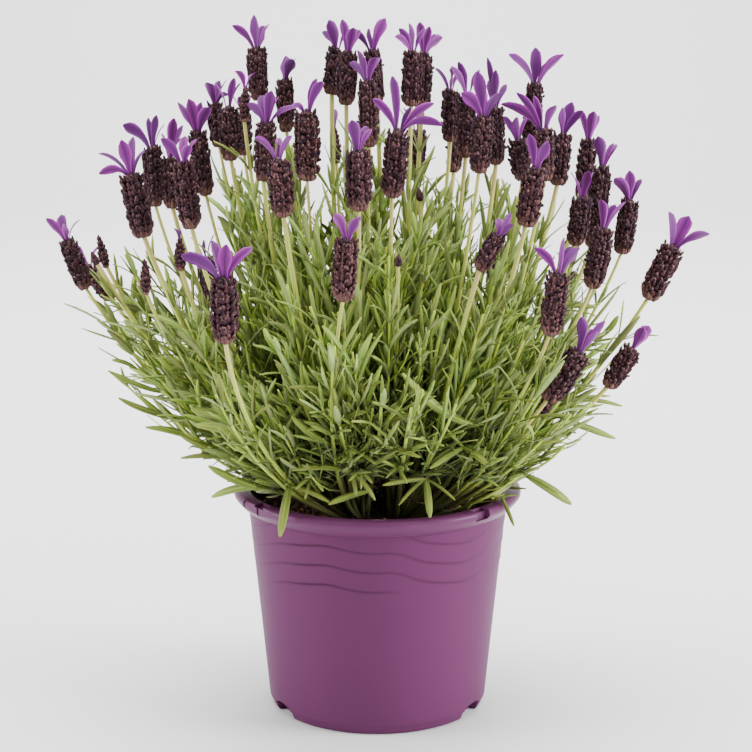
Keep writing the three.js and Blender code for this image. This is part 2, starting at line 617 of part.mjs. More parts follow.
// A three-sided stem along a curve, with pairs of leaves at some places, each pair turned from the last.
function leafyStem(curve, pairs, extra, endRadius, seed, sector, owner) {
  const length = curve.getLength();
  const half = LEAF.base / 2 / length;
  const places = [0, ...pairs.flatMap((at) => [at - half, at + half]), ...extra, 1];
  let right = curve.getTangentAt(0).cross(V(Math.cos(seed * 2.4), Math.sin(seed * 2.4), 0.1)).normalize();
  const stations = places.map((at) => {
    const axis = curve.getTangentAt(at);
    right = right.clone().addScaledVector(axis, -right.dot(axis)).normalize();
    const radius = THREE.MathUtils.lerp(STALK.radius, endRadius, at);
    return { centre: curve.getPointAt(at), axis, right, front: axis.clone().cross(right), radius };
  });
  const rings = stations.map(({ centre, right: x, front: y, radius }) => ringAt(centre, x, y, STALK.sides, () => radius));
  const sprouts = pairs.flatMap((at, pair) =>
    [0, 1].flatMap((twin) => {
      const row = 1 + 2 * pair;
      const side = (2 * pair + twin) % STALK.sides;
      const { axis, right: x, front: y, radius } = stations[row];
      const angle = ((side + 0.5) / STALK.sides) * 2 * Math.PI;
      const out = x.clone().multiplyScalar(Math.cos(angle)).addScaledVector(y, Math.sin(angle));
      const base = curve.getPointAt(at).addScaledVector(out, 0.7 * radius);
      const opening = radians(36 + 22 * (1 - at) + 12 * draw(seed, 20 + 2 * pair + twin));
      const size = LEAF.length * (0.78 + 0.4 * draw(seed, 40 + 2 * pair + twin)) * (at > 0.9 ? 0.8 : 1);
      return leafFrom({ row, side, axis, out, base }, opening, size, sector, owner);
    }),
  );
  return loft(rings, null, sprouts);
}

// A green bud: a small egg that stays one piece with its stalk.
function makeBud({ foot, top, axis, thick }) {
  const right = V(0, 1, 0).cross(axis).normalize();
  const front = axis.clone().cross(right);
  const share = [0.4, 1, 0.9];
  return loft(
    share.map((s, i) => ringAt(foot.clone().lerp(top, i / 3 - 0.1), right, front, 6, () => (s * thick) / 2)),
    top,
  );
}

// The woody crown of a slice on its root, which stands in a hole in the soil.
function makeCrown(sector) {
  const out = trunkAt(sector).normalize();
  const round = UP.clone().cross(out);
  const ring = (height, share) =>
    Array.from({ length: 10 }, (_, j) => {
      const turn = (j / 10) * 2 * Math.PI;
      const point = trunkAt(sector).setZ(height);
      point.addScaledVector(out, CROWN.along * share * Math.cos(turn));
      point.addScaledVector(round, CROWN.across * share * Math.sin(turn));
      return keptInside(point, sector, SECTOR.margin);
    });
  const root = (height) => ringAt(trunkAt(sector).setZ(height), out, round, 6, () => CROWN.trunk);
  return [
    loft([ring(CROWN.bottom, 1), ring(CROWN.top, 0.86)]),
    loft([root(SOIL.top - CROWN.rootDepth), root(CROWN.top - 1)]),
  ];
}

// Room for the spikes comes first, then the stems find their way, then the bracts and the leaves open.
const stalks = [...flowers, ...farFlowers, ...buds].map((flower, owner) => {
  rods.push({ from: flower.foot, to: flower.top, radius: flower.thick / 2, owner });
  return { flower, owner, sector: sectorOf(flower.foot) };
});
const slices = Array.from({ length: SECTOR.count }, (_, sector) => {
  const own = stalks.filter((stalk) => stalk.sector === sector);
  const count = Math.max(SHOOT.least, Math.round(SHOOT.most - own.length / 4));
  const shootEnds = Array.from({ length: count }, (_, k) => shootEnd(sector, k));
  const starts = startsFor([...own.map(({ flower }) => flower.foot), ...shootEnds], sector);
  own.forEach((stalk, i) => (stalk.curve = stalkCurve(stalk.flower, starts[i], sector, stalk.owner)));
  const shoots = shootEnds.map((end, k) => {
    const owner = `shoot ${sector} ${k}`;
    return { owner, curve: shootCurve(end, starts[own.length + k], sector, owner) };
  });
  return { own, shoots };
});
const heads = [...flowers, ...farFlowers].map(makeFlower);

function makeBranch({ own, shoots }, sector) {
  const pieces = makeCrown(sector);
  own.forEach(({ flower, curve, owner }) => {
    pieces.push(leafyStem(curve, STALK.pairs[owner % 2], [STALK.bend], STALK.tip, owner, sector, owner));
    if (owner >= heads.length) pieces.push(makeBud(flower));
    else if (owner >= flowers.length) pieces.push(heads[owner]);
  });
  shoots.forEach(({ curve, owner }, k) => {
    pieces.push(leafyStem(curve, SHOOT.pairs, [], SHOOT.tip, 200 + 10 * sector + k, sector, owner));
  });
  return fuse(pieces);
}

// The scene graph.

function meshOf(name, body, material) {
  const { vertProperties, triVerts } = body.getMesh();
  const geometry = new THREE.BufferGeometry()
    .setAttribute("position", new THREE.BufferAttribute(vertProperties, 3))
    .setIndex(new THREE.BufferAttribute(triVerts, 1));
  geometry.computeVertexNormals();
  const mesh = new THREE.Mesh(geometry, material);
  mesh.name = name;
  return mesh;
}

const twoDigits = (k) => String(k + 1).padStart(2, "0");
const plant = new THREE.Group();
plant.add(meshOf("pot", makePot(), COLOUR.pot));
plant.add(meshOf("soil", makeSoil(), COLOUR.soil));
slices.map(makeBranch).forEach((branch, sector) => plant.add(meshOf(`branch_${sector + 1}`, branch, COLOUR.green)));
heads.slice(0, flowers.length).forEach((head, k) => plant.add(meshOf(`flower_head_${twoDigits(k)}`, head, COLOUR.flower)));

export default plant;
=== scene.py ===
"""The looks of a butterfly lavender in flower in a plastic nursery pot.

Sizes are in millimetres until a mesh is made, +Z is up and -Y is the side that faces the camera. Nearly every
living piece is a swept body: a closed outline carried along a spine, for all bodies of its kind at once.
"""

import logging
import math
from dataclasses import dataclass, field, replace
from enum import Enum
from typing import Callable, ClassVar, Sequence

import bpy
import numpy as np
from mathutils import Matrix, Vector
from numpy.typing import NDArray

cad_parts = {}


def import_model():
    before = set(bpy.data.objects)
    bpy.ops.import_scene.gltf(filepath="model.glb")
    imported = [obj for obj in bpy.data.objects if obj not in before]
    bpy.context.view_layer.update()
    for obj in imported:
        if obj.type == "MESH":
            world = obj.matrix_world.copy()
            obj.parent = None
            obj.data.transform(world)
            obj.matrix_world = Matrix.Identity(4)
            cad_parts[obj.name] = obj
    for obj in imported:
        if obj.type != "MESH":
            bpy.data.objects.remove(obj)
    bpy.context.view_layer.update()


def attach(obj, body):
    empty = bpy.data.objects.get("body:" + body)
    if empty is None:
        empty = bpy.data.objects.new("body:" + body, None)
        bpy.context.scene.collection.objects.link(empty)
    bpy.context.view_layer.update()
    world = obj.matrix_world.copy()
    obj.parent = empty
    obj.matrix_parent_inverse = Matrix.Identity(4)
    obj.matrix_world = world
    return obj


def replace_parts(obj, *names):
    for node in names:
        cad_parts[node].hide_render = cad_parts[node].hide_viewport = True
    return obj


Array = NDArray[np.float64]
Ints = NDArray[np.int64]
Rng = np.random.Generator
Colour = tuple[float, float, float, float]
Socket = bpy.types.NodeSocket

MM = 0.001
BODY = "root"
SEED = 26
LOG = logging.getLogger("lavender")

UP = np.array([0, 0, 1.0])
FLAT = np.array([1.0, 1.0, 0])
SLICES = 6
FIRST_SLICE = 34.0
FORWARD_LEAN = 0.06
# Spikes thinner than these are still growing, closed, or small buds
FULL_SPIKE = 9
CLOSED_SPIKE = 8
SMALL_BUD = 6


def srgb(red: int, green: int, blue: int) -> Colour:
    """Turns a colour as seen on a screen, with parts from 0 to 255, into a linear one.

    Args:
        red: Its red.
        green: Its green.
        blue: Its blue.

    Returns:
        The linear colour with full alpha.
    """
    linear = [((c / 255 + 0.055) / 1.055) ** 2.4 if c > 10 else c / 255 / 12.92 for c in (red, green, blue)]
    return (linear[0], linear[1], linear[2], 1.0)


def unit(vectors: Array) -> Array:
    """Returns vectors scaled to length one along their last axis."""
    return vectors / np.maximum(np.linalg.norm(vectors, axis=-1, keepdims=True), 1e-9)


def draw(seed: float, turn: float) -> float:
    """Returns a number from 0 to 1 that is always the same for a seed and turn."""
    wave = math.sin(seed * 12.9898 + turn * 78.233) * 43758.5453
    return wave - math.floor(wave)


def slice_of(point: Sequence[float]) -> int:
    """Returns the slice of the plant, one for each branch, in which a point lies."""
    turn = math.degrees(math.atan2(point[1], point[0])) - FIRST_SLICE
    return int((turn % 360) // (360 / SLICES))


# The measured plant


@dataclass(frozen=True)
class Flower:
    """One flower head, read off the photograph.

    Attributes:
        foot: The middle of the spike's lower end.
        lean: How far its top lies from there to the right and up.
        thick: The spike's thickness.
        tips: Where the tips of its visible bracts lie from its top, right and up.
        bend: How far its stalk swings to the left low down.
        broad: How broad its visible bracts are, as a share of the usual.
    """

    foot: tuple[int, int, int]
    lean: tuple[int, int]
    thick: int
    tips: tuple[tuple[int, int], ...] = ()
    bend: int = 0
    broad: float = 1.0

    @property
    def base(self) -> Array:
        """The foot as an array."""
        return np.array(self.foot, float)

    @property
    def top(self) -> Array:
        """The spike's upper end: in front and behind, heads lean outwards by a share of their depth."""
        return self.base + (self.lean[0], FORWARD_LEAN * self.foot[1], self.lean[1])

    @property
    def axis(self) -> Array:
        """The way from the foot to the top."""
        return unit(self.top - self.base)

    @property
    def square(self) -> tuple[Array, Array]:
        """The two directions square to the spike, to its right and to its back."""
        right = unit(np.cross(np.array([0, 1, 0]), self.axis))
        return right, np.cross(self.axis, right)

    def swell(self, at: Array) -> Array:
        """Returns the thickness along the spike as a share of its full one; a closed one ends in a point."""
        if self.thick < CLOSED_SPIKE:
            return np.interp(at, (0, 0.08, 0.22, 0.45, 0.7, 0.88, 1), (0.45, 0.8, 1, 0.98, 0.72, 0.42, 0.15))
        return np.interp(at, (0, 0.05, 0.13, 0.45, 0.8, 0.94, 1), (0.52, 0.8, 0.94, 1, 0.97, 0.87, 0.58))


FLOWERS = (
    Flower((-150, 2, 220), (-9, 25), 9, ((-9, 12), (-4, 12), (1, 9))),
    Flower((-143, 48, 207), (-12, 16), 8, ((-7, 3),)),
    Flower((-141, 16, 229), (-4, 17), 6),
    Flower((-114, -41, 224), (0, 18), 6),
    Flower((-98, -28, 234), (0, 17), 7, ((-1, 5),)),
    Flower((-116, -29, 251), (-5, 31), 12, ((-16, 10), (-4, 17), (1, 18), (-15, 1))),
    Flower((-115, 16, 261), (-1, 30), 10, ((-14, 12), (-2, 15), (3, 17))),
    Flower((-108, 33, 258), (-1, 26), 9, ((-5, 12), (3, 21), (7, 17))),
    Flower((-91, -42, 257), (-3, 32), 11, ((-10, 12), (0, 12), (4, 9))),
    Flower((-90, 31, 265), (-4, 33), 10, ((-10, 15), (-4, 17), (2, 15), (7, 13))),
    Flower((-84, 48, 289), (-2, 22), 9, ((-3, 12), (2, 12), (8, 6))),
    Flower((-76, 23, 284), (-1, 27), 10, ((3, 15),)),
    Flower((-68, 10, 305), (1, 18), 7, ((-4, 8), (4, 6))),
    Flower((-72, 64, 283), (0, 21), 8),
    Flower((-61, 24, 315), (-1, 26), 10, ((-1, 17), (4, 11), (-12, 12))),
    Flower((-48, 46, 297), (-1, 27), 9, ((0, 12), (5, 11))),
    Flower((-58, -1, 276), (2, 29), 10, ((-9, 10), (-3, 13), (3, 16), (16, 8))),
    Flower((-45, -60, 265), (-2, 27), 11, ((-11, 10), (6, 12), (0, 10))),
    Flower((-35, -20, 278), (0, 34), 12, ((8, 15), (5, 16), (-7, 3))),
    Flower((-22, 62, 279), (-1, 19), 7, ((0, 9),)),
    Flower((-24, 40, 317), (3, 23), 10, ((-4, 15), (-8, 9))),
    Flower((-16, 18, 313), (1, 26), 10, ((-3, 17), (3, 13))),
    Flower((0, 34, 313), (-3, 27), 9, ((-1, 11), (7, 16), (-11, 11))),
    Flower((-4, 0, 293), (-1, 33), 10, ((-5, 15), (4, 12), (-9, 8))),
    Flower((-9, -60, 268), (0, 28), 12, ((-3, 15), (4, 11))),
    Flower((7, -50, 273), (3, 32), 11, ((-12, 15), (-3, 26), (17, 13), (21, 3))),
    Flower((17, 8, 313), (1, 27), 10, ((-7, 12), (-2, 14), (-9, 8))),
    Flower((23, 36, 309), (1, 29), 9, ((-2, 16), (3, 14), (10, 8))),
    Flower((21, 84, 268), (1, 26), 10),
    Flower((39, 56, 291), (0, 27), 9, ((-8, 11), (0, 12))),
    Flower((46, 29, 285), (1, 32), 10, ((-9, 15), (-5, 17))),
    Flower((42, 84, 272), (1, 23), 8),
    Flower((50, -30, 283), (2, 27), 10, ((-11, 12), (-1, 13), (8, 12), (-3, 22))),
    Flower((61, 12, 283), (-1, 29), 9, ((-4, 25), (0, 19), (-3, 13))),
    Flower((79, 30, 289), (3, 34), 9, ((-14, 15), (0, 18), (14, 15)), broad=1.3),
    Flower((84, -11, 277), (-1, 25), 10, ((-21, 13), (-14, 19), (-5, 17), (5, 13))),
    Flower((74, 1, 276), (-3, 20), 10, ((-2, 12),)),
    Flower((72, -50, 259), (4, 28), 11, ((-3, 16), (5, 13))),
    Flower((93, 16, 272), (2, 26), 10, ((-1, 14), (5, 16), (10, 12))),
    Flower((110, 56, 260), (3, 32), 9, ((-4, 15), (2, 15))),
    Flower((114, 40, 237), (5, 42), 10, ((-3, 16), (8, 11))),
    Flower((101, 0, 243), (3, 24), 10, ((-5, 12), (3, 14))),
    Flower((108, -20, 224), (5, 30), 11, ((-2, 15), (11, 13))),
    Flower((129, 32, 234), (4, 28), 10, ((0, 15), (-9, 12))),
    Flower((139, 0, 215), (12, 27), 12, ((-3, 18), (8, 15), (18, 7)), broad=1.3),
    Flower((83, -70, 209), (3, 30), 11, ((-11, 12), (2, 18), (10, 12))),
    Flower((83, -60, 175), (15, 24), 12, ((0, 18), (12, 15), (7, 12)), broad=1.25),
    Flower((82, -30, 160), (8, 18), 7),
    Flower((117, -20, 173), (12, 20), 10, ((4, 12), (9, 10)), broad=1.4),
    Flower((49, -60, 239), (9, 17), 8, ((0, 7), (6, 6))),
    Flower((-70, -110, 213), (0, 30), 12, ((-18, 11), (-5, 17), (2, 16), (13, 14)), 12),
    Flower((-16, -90, 229), (2, 29), 11, ((-6, 11), (5, 11)), 12),
)
FAR_FLOWERS = (
    Flower((-92, 88, 196), (-4, 27), 10),
    Flower((-54, 112, 190), (-2, 28), 10),
    Flower((-14, 124, 204), (-1, 28), 10),
    Flower((28, 118, 186), (1, 28), 10),
    Flower((66, 108, 202), (3, 27), 10),
    Flower((102, 82, 190), (5, 26), 10),
)
BUDS = (
    Flower((-143, -2, 233), (-3, 7), 4),
    Flower((22, 4, 265), (-1, 7), 4),
    Flower((10, -60, 241), (0, 6), 4),
)


# Meshes


@dataclass
class Skin:
    """A stretch of surface on its way into a mesh.

    Attributes:
        points: Its vertices, one a row.
        faces: Index arrays, one for each number of corners.
        marks: Values at the vertices that a material reads, by name.
        dress: Which of the piece's materials it wears.
    """

    points: Array
    faces: list[Ints]
    marks: dict[str, Array] = field(default_factory=dict)
    dress: int = 0


def put_in(name: str, data: bpy.types.ID) -> bpy.types.Object:
    """Returns a new object in the scene with a mesh, a light or a camera."""
    made = bpy.data.objects.new(name, data)
    bpy.context.scene.collection.objects.link(made)
    return made


def set_mark(mesh: bpy.types.Mesh, name: str, values: Array) -> None:
    """Writes a value for every vertex of a mesh."""
    mesh.attributes.new(name, "FLOAT", "POINT").data.foreach_set("value", values)


def make_piece(
    name: str, skins: Sequence[Skin], materials: Sequence[bpy.types.Material]
) -> bpy.types.Object:
    """Puts skins into one object that rides on the plant's body.

    Args:
        name: The piece's name.
        skins: Its surfaces; a mark that one of them lacks is zero there.
        materials: Its materials, in the order that the skins count them.

    Returns:
        The new object.
    """
    starts = np.cumsum([0] + [len(skin.points) for skin in skins])
    arrays = [(f + start, skin.dress) for skin, start in zip(skins, starts) for f in skin.faces if len(f)]
    corners = np.concatenate([f.ravel() for f, _ in arrays])
    totals = np.concatenate([np.full(len(f), f.shape[1]) for f, _ in arrays])
    mesh = bpy.data.meshes.new(name)
    mesh.vertices.add(int(starts[-1]))
    mesh.vertices.foreach_set("co", np.concatenate([skin.points for skin in skins]).ravel() * MM)
    mesh.loops.add(len(corners))
    mesh.loops.foreach_set("vertex_index", corners)
    mesh.polygons.add(len(totals))
    mesh.polygons.foreach_set("loop_start", np.cumsum(totals) - totals)
    mesh.polygons.foreach_set("loop_total", totals)
    dresses = np.concatenate([np.full(len(f), dress) for f, dress in arrays])
    mesh.polygons.foreach_set("material_index", dresses)
    mesh.polygons.foreach_set("use_smooth", np.ones(len(totals), bool))
    mesh.update(calc_edges=True)
    for key in sorted({key for skin in skins for key in skin.marks}):
        values = [skin.marks.get(key, np.zeros(len(skin.points))) for skin in skins]
        set_mark(mesh, key, np.concatenate(values))
    for material in materials:
        mesh.materials.append(material)
    piece = put_in(name, mesh)
    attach(piece, BODY)
    LOG.info("%s: %d triangles", name, int((totals - 2).sum()))
    return piece


def tube_faces(stations: int, sides: int) -> tuple[Ints, Ints]:
    """Finds the faces of a closed tube, whose points go ring by ring and end with the first and last pole.

    Args:
        stations: How many rings it has.
        sides: Points of a ring.

    Returns:
        The quads between the rings and the triangles about the poles.
    """
    i, j = np.meshgrid(np.arange(stations - 1), np.arange(sides), indexing="ij")
    a, b = i * sides + j, i * sides + (j + 1) % sides
    walls = np.stack([a, b, b + sides, a + sides], axis=-1).reshape(-1, 4)
    ring = np.arange(sides)
    turned = (ring + 1) % sides
    last = (stations - 1) * sides
    start = np.stack([np.full(sides, last + sides), turned, ring], axis=-1)
    end = np.stack([last + ring, last + turned, np.full(sides, last + sides + 1)], axis=-1)
    return walls, np.concatenate([start, end])


def capped(grid: Array, low: float, high: float) -> tuple[Array, Ints, Ints]:
    """Closes rings about Z with a pole on the axis at either end.

    Args:
        grid: The rings, shape (rings, points, 3).
        low: Height of the first pole.
        high: Height of the last one.

    Returns:
        The points, the quads and the triangles.
    """
    return np.concatenate([grid.reshape(-1, 3), [[0, 0, low], [0, 0, high]]]), *tube_faces(*grid.shape[:2])


def sweep(
    spine: Array,
    facing: Array,
    half: Array,
    thick: Array,
    sides: int,
    cup: float = 0.0,
    tone: Array | None = None,
    dress: int = 0,
) -> Skin:
    """Carries a closed oval outline along many spines at once, with a pole at either end.

    A point is spine + across * half * cos(turn) + normal * (thick * sin(turn) - cup * half * cos(turn)^2),
    where the normal is the part of facing that is square to the spine.

    Args:
        spine: Points along each body, shape (bodies, stations, 3).
        facing: The way each body's upper side looks, shape (bodies, 3) or (bodies, stations, 3).
        half: Half widths, shape (bodies, stations).
        thick: Half thicknesses, shape (bodies, stations).
        sides: Points round the outline.
        cup: How far the edges hang below the middle, as a share of the half width.
        tone: A shade from 0 to 1 for each body.
        dress: Which material the skin wears.

    Returns:
        The skin, marked with along, across, under and tone.
    """
    bodies, stations = spine.shape[:2]
    tangent = unit(np.gradient(spine, axis=1))
    across = unit(np.cross(facing[:, None] if facing.ndim == 2 else facing, tangent))
    normal = np.cross(tangent, across)
    turn = np.arange(sides) * 2 * np.pi / sides
    x, y = np.cos(turn), np.sin(turn)
    wide = half[..., None] * x
    rise = thick[..., None] * y - cup * half[..., None] * x**2
    rings = spine[:, :, None] + across[:, :, None] * wide[..., None] + normal[:, :, None] * rise[..., None]
    end = spine[:, -1:] + tangent[:, -1:] * half[:, -1:, None] * 0.8
    points = np.concatenate([rings.reshape(bodies, -1, 3), spine[:, :1], end], axis=1)
    each = stations * sides + 2
    offsets = np.arange(bodies)[:, None, None] * each
    walls, caps = tube_faces(stations, sides)
    along = np.concatenate([np.repeat(np.linspace(0, 1, stations), sides), [0, 1]])
    return Skin(
        points.reshape(-1, 3),
        [(walls + offsets).reshape(-1, 4), (caps + offsets).reshape(-1, 3)],
        {
            "along": np.tile(along, bodies),
            "across": np.tile(np.concatenate([np.tile(x, stations), [0, 0]]), bodies),
            "under": np.tile(np.concatenate([np.tile(0.5 - 0.5 * y, stations), [0.5, 0.5]]), bodies),
            "tone": np.repeat(np.zeros(bodies) if tone is None else tone, each),
        },
        dress,
    )


def twisted(facing: Array, spine: Array, turn: Array) -> Array:
    """Turns the way bodies look about their own spines: facing * cos(turn) + (tangent x facing) * sin(turn).

    Args:
        facing: The way each body looks, shape (bodies, 3).
        spine: Points along each body, shape (bodies, stations, 3).
        turn: Angles, shape (bodies, stations).

    Returns:
        The ways at every station, shape (bodies, stations, 3).
    """
    side = np.cross(unit(np.gradient(spine, axis=1)), facing[:, None])
    return facing[:, None] * np.cos(turn)[..., None] + side * np.sin(turn)[..., None]


def quadratic(base: Array, knee: Array, tip: Array, at: Array) -> Array:
    """Points of quadratic curves: base * (1 - t)^2 + knee * 2t(1 - t) + tip * t^2.

    Args:
        base: First points, shape (curves, 3).
        knee: Points that the curves bend towards, shape (curves, 3).
        tip: Last points, shape (curves, 3).
        at: Places from 0 to 1 along every curve.

    Returns:
        Points, shape (curves, places, 3).
    """
    t = at[None, :, None]
    return base[:, None] * (1 - t) ** 2 + knee[:, None] * 2 * t * (1 - t) + tip[:, None] * t**2


def bezier(control: Array, at: Array) -> Array:
    """Points of cubic curves: the four control points weighted by the Bernstein polynomials.

    Args:
        control: Control points, shape (curves, 4, 3).
        at: Places from 0 to 1 along each curve, shape (curves, places).

    Returns:
        Points, shape (curves, places, 3).
    """
    t, p = at[..., None], control[:, None]
    early = (1 - t) ** 3 * p[:, :, 0] + 3 * t * (1 - t) ** 2 * p[:, :, 1]
    return early + 3 * t**2 * (1 - t) * p[:, :, 2] + t**3 * p[:, :, 3]


def bezier_way(control: Array, at: Array) -> Array:
    """The unit direction of cubic curves, from their first derivative.

    Args:
        control: Control points, shape (curves, 4, 3).
        at: Places from 0 to 1 along each curve, shape (curves, places).

    Returns:
        Directions, shape (curves, places, 3).
    """
    t, steps = at[..., None], np.diff(control, axis=1)[:, None]
    return unit((1 - t) ** 2 * steps[:, :, 0] + 2 * t * (1 - t) * steps[:, :, 1] + t**2 * steps[:, :, 2])


# Materials


class Graph:
    """A short way to write a material's or a group's nodes."""

    def __init__(self, tree: bpy.types.NodeTree) -> None:
        """Starts with an empty tree."""
        self.tree = tree
        tree.nodes.clear()

    def add(
        self, kind: str, inputs: dict[str | int, object] | None = None, **settings: object
    ) -> bpy.types.Node:
        """Adds a node.

        Args:
            kind: The node's type, without the words that all types start with.
            inputs: For each input by name or place, a value or the socket that feeds it.
            **settings: The node's own properties.

        Returns:
            The node.
        """
        node = self.tree.nodes.new(kind if kind.startswith("NodeGroup") else f"ShaderNode{kind}")
        for key, value in settings.items():
            setattr(node, key, value)
        for key, value in (inputs or {}).items():
            if isinstance(value, Socket):
                self.tree.links.new(value, node.inputs[key])
            else:
                node.inputs[key].default_value = value
        return node

    def mark(self, name: str) -> Socket:
        """Returns the value of a mark on the mesh."""
        return self.add("Attribute", attribute_name=name).outputs["Fac"]

    def off_middle(self) -> Socket:
        """Returns how far a point lies from its body's middle line, from 0 to 1."""
        return self.math("ABSOLUTE", self.mark("across"))

    def math(self, operation: str, *values: object) -> Socket:
        """Returns the result of a Math node on values or sockets."""
        return self.add("Math", dict(enumerate(values)), operation=operation).outputs[0]

    def times(self, first: object, second: object) -> Socket:
        """Returns a product."""
        return self.math("MULTIPLY", first, second)

    def ramp(self, low: float, high: float, value: object) -> Socket:
        """Returns a value's smooth climb from 0 at low to 1 at high."""
        inputs = {"Value": value, "From Min": low, "From Max": high}
        return self.add("MapRange", inputs, interpolation_type="SMOOTHSTEP").outputs["Result"]

    def mix(self, share: object, first: object, second: object) -> Socket:
        """Returns two colours mixed by a share."""
        return self.add("Mix", {0: share, 6: first, 7: second}, data_type="RGBA").outputs[2]

    def noise(self, scale: object, **more: float) -> Socket:
        """Returns noise over the object coordinates."""
        place = self.add("TexCoord").outputs["Object"]
        return self.add("TexNoise", {"Vector": place, "Scale": scale, "Detail": 3.0, **more}).outputs["Fac"]

    def end(self, shader: dict[str | int, object]) -> None:
        """Ends a material in its shader."""
        principled = self.add("BsdfPrincipled", shader)
        self.add("OutputMaterial", {"Surface": principled.outputs["BSDF"]})


def new_group(name: str, inputs: dict[str, str], outputs: dict[str, str]) -> tuple[Graph, Sequence[Socket]]:
    """Makes a shader node group.

    Args:
        name: The group's name.
        inputs: The kinds of its inputs by name.
        outputs: The kinds of its outputs by name.

    Returns:
        Its graph, and the sockets that give the inputs' values.
    """
    group = bpy.data.node_groups.new(name, "ShaderNodeTree")
    for way, sockets in (("INPUT", inputs), ("OUTPUT", outputs)):
        for words, kind in sockets.items():
            group.interface.new_socket(words, in_out=way, socket_type=f"NodeSocket{kind}")
    graph = Graph(group)
    return graph, graph.add("NodeGroupInput").outputs


def mottle_group() -> bpy.types.NodeTree:
    """Builds the group that varies a colour from body to body by its tone and over the surface by noise."""
    inputs = {"Color": "Color", "Tone Range": "Float", "Patch Scale": "Float", "Patch Range": "Float"}
    graph, given = new_group("mottle", inputs, {"Color": "Color"})
    tone = graph.times(graph.math("SUBTRACT", graph.mark("tone"), 0.5), given["Tone Range"])
    patch = graph.times(graph.math("SUBTRACT", graph.noise(given["Patch Scale"]), 0.5), given["Patch Range"])
    value = graph.math("ADD", 1.0, graph.math("ADD", tone, patch))
    hue = graph.math("ADD", 0.5, graph.times(tone, 0.05))
    varied = graph.add("HueSaturation", {"Hue": hue, "Value": value, "Color": given["Color"]})
    graph.add("NodeGroupOutput", {"Color": varied.outputs["Color"]})
    return graph.tree


def grain_group() -> bpy.types.NodeTree:
    """Builds the group that puts a fine grain on a surface as a bumped normal."""
    graph, given = new_group("grain", {"Scale": "Float", "Depth": "Float"}, {"Normal": "Vector"})
    height = graph.times(graph.noise(given["Scale"], Roughness=0.6), given["Depth"])
    bump = graph.add("Bump", {"Height": height, "Distance": 0.001, "Strength": 0.6})
    graph.add("NodeGroupOutput", {"Normal": bump.outputs["Normal"]})
    return graph.tree


@dataclass(frozen=True)
class Finish:
    """What every finish shares: a mottled colour, a grain and its own shader.

    Attributes:
        name: The material's name.
        mottle: Tone range, patch scale and patch range.
        grain: Scale and depth of the grain.
        shader: Constant inputs of the shader.
    """

    groups: ClassVar[dict[str, bpy.types.NodeTree]] = {}
    name: ClassVar[str]
    mottle: ClassVar[tuple[float, float, float]]
    grain: ClassVar[tuple[float, float]]
    shader: ClassVar[dict[str, float]]

    @classmethod
    def group(cls, name: str, build: Callable[[], bpy.types.NodeTree]) -> bpy.types.NodeTree:
        """Returns a node group, built at its first use."""
        if name not in cls.groups:
            cls.groups[name] = build()
        return cls.groups[name]

    def colour(self, graph: Graph) -> object:
        """Returns the colour before it is mottled, as a socket or a value."""
        raise NotImplementedError

    def inputs(self, graph: Graph) -> dict[str, object]:
        """Returns the shader's inputs besides colour and normal."""
        return dict(self.shader)

    def make(self) -> bpy.types.Material:
        """Returns the material."""
        material = bpy.data.materials.new(self.name)
        material.use_nodes = True
        graph = Graph(material.node_tree)
        patches = dict(zip(("Tone Range", "Patch Scale", "Patch Range"), self.mottle))
        patches["Color"] = self.colour(graph)
        varied = graph.add("Group", patches, node_tree=self.group("mottle", mottle_group))
        grain = dict(zip(("Scale", "Depth"), self.grain))
        grained = graph.add("Group", grain, node_tree=self.group("grain", grain_group))
        surface = {"Base Color": varied.outputs["Color"], "Normal": grained.outputs["Normal"]}
        graph.end(surface | self.inputs(graph))
        return material


@dataclass(frozen=True)
class MouldedPlastic(Finish):
    """The pot's satin plastic: duller in patches, with painted shade along its wave lines, glossier on the
    rim.
    """

    body: Colour = srgb(92, 46, 82)
    # The painted shade that darkens the wall under the wave ledges.
    shade: Colour = srgb(54, 22, 47)
    name = "moulded_plastic"
    mottle = (0.0, 9.0, 0.06)
    grain = (900.0, 0.02)
    shader = {"Specular IOR Level": 0.06, "Coat Roughness": 0.3}

    def colour(self, graph: Graph) -> Socket:
        """Returns the colour, with painted shade mixed in along the wave lines under their ledges."""
        return graph.mix(graph.mark("groove_shade"), self.body, self.shade)

    def inputs(self, graph: Graph) -> dict[str, object]:
        """Returns the shader's inputs: on the rim it is less rough and has a thin coat."""
        dull = graph.add("MapRange", {"Value": graph.noise(24.0), "To Min": 0.42, "To Max": 0.52})
        rim = graph.mark("rim")
        rough = graph.math("SUBTRACT", dull.outputs["Result"], graph.times(rim, 0.1))
        return {"Roughness": rough, "Coat Weight": graph.times(rim, 0.18)} | self.shader


@dataclass(frozen=True)
class Compost(Finish):
    """Dark peat with pale crumbs, chosen by tone."""

    peat: Colour = srgb(84, 60, 40)
    bark: Colour = srgb(140, 96, 60)
    pale: Colour = srgb(190, 175, 155)
    name = "compost"
    mottle = (0.2, 160.0, 0.9)
    grain = (420.0, 1.0)
    shader = {"Roughness": 0.95}

    def colour(self, graph: Graph) -> Socket:
        """Returns the colour."""
        tone = graph.mark("tone")
        brown = graph.mix(graph.ramp(0.45, 0.9, tone), self.peat, self.bark)
        return graph.mix(graph.ramp(0.965, 0.975, tone), brown, self.pale)


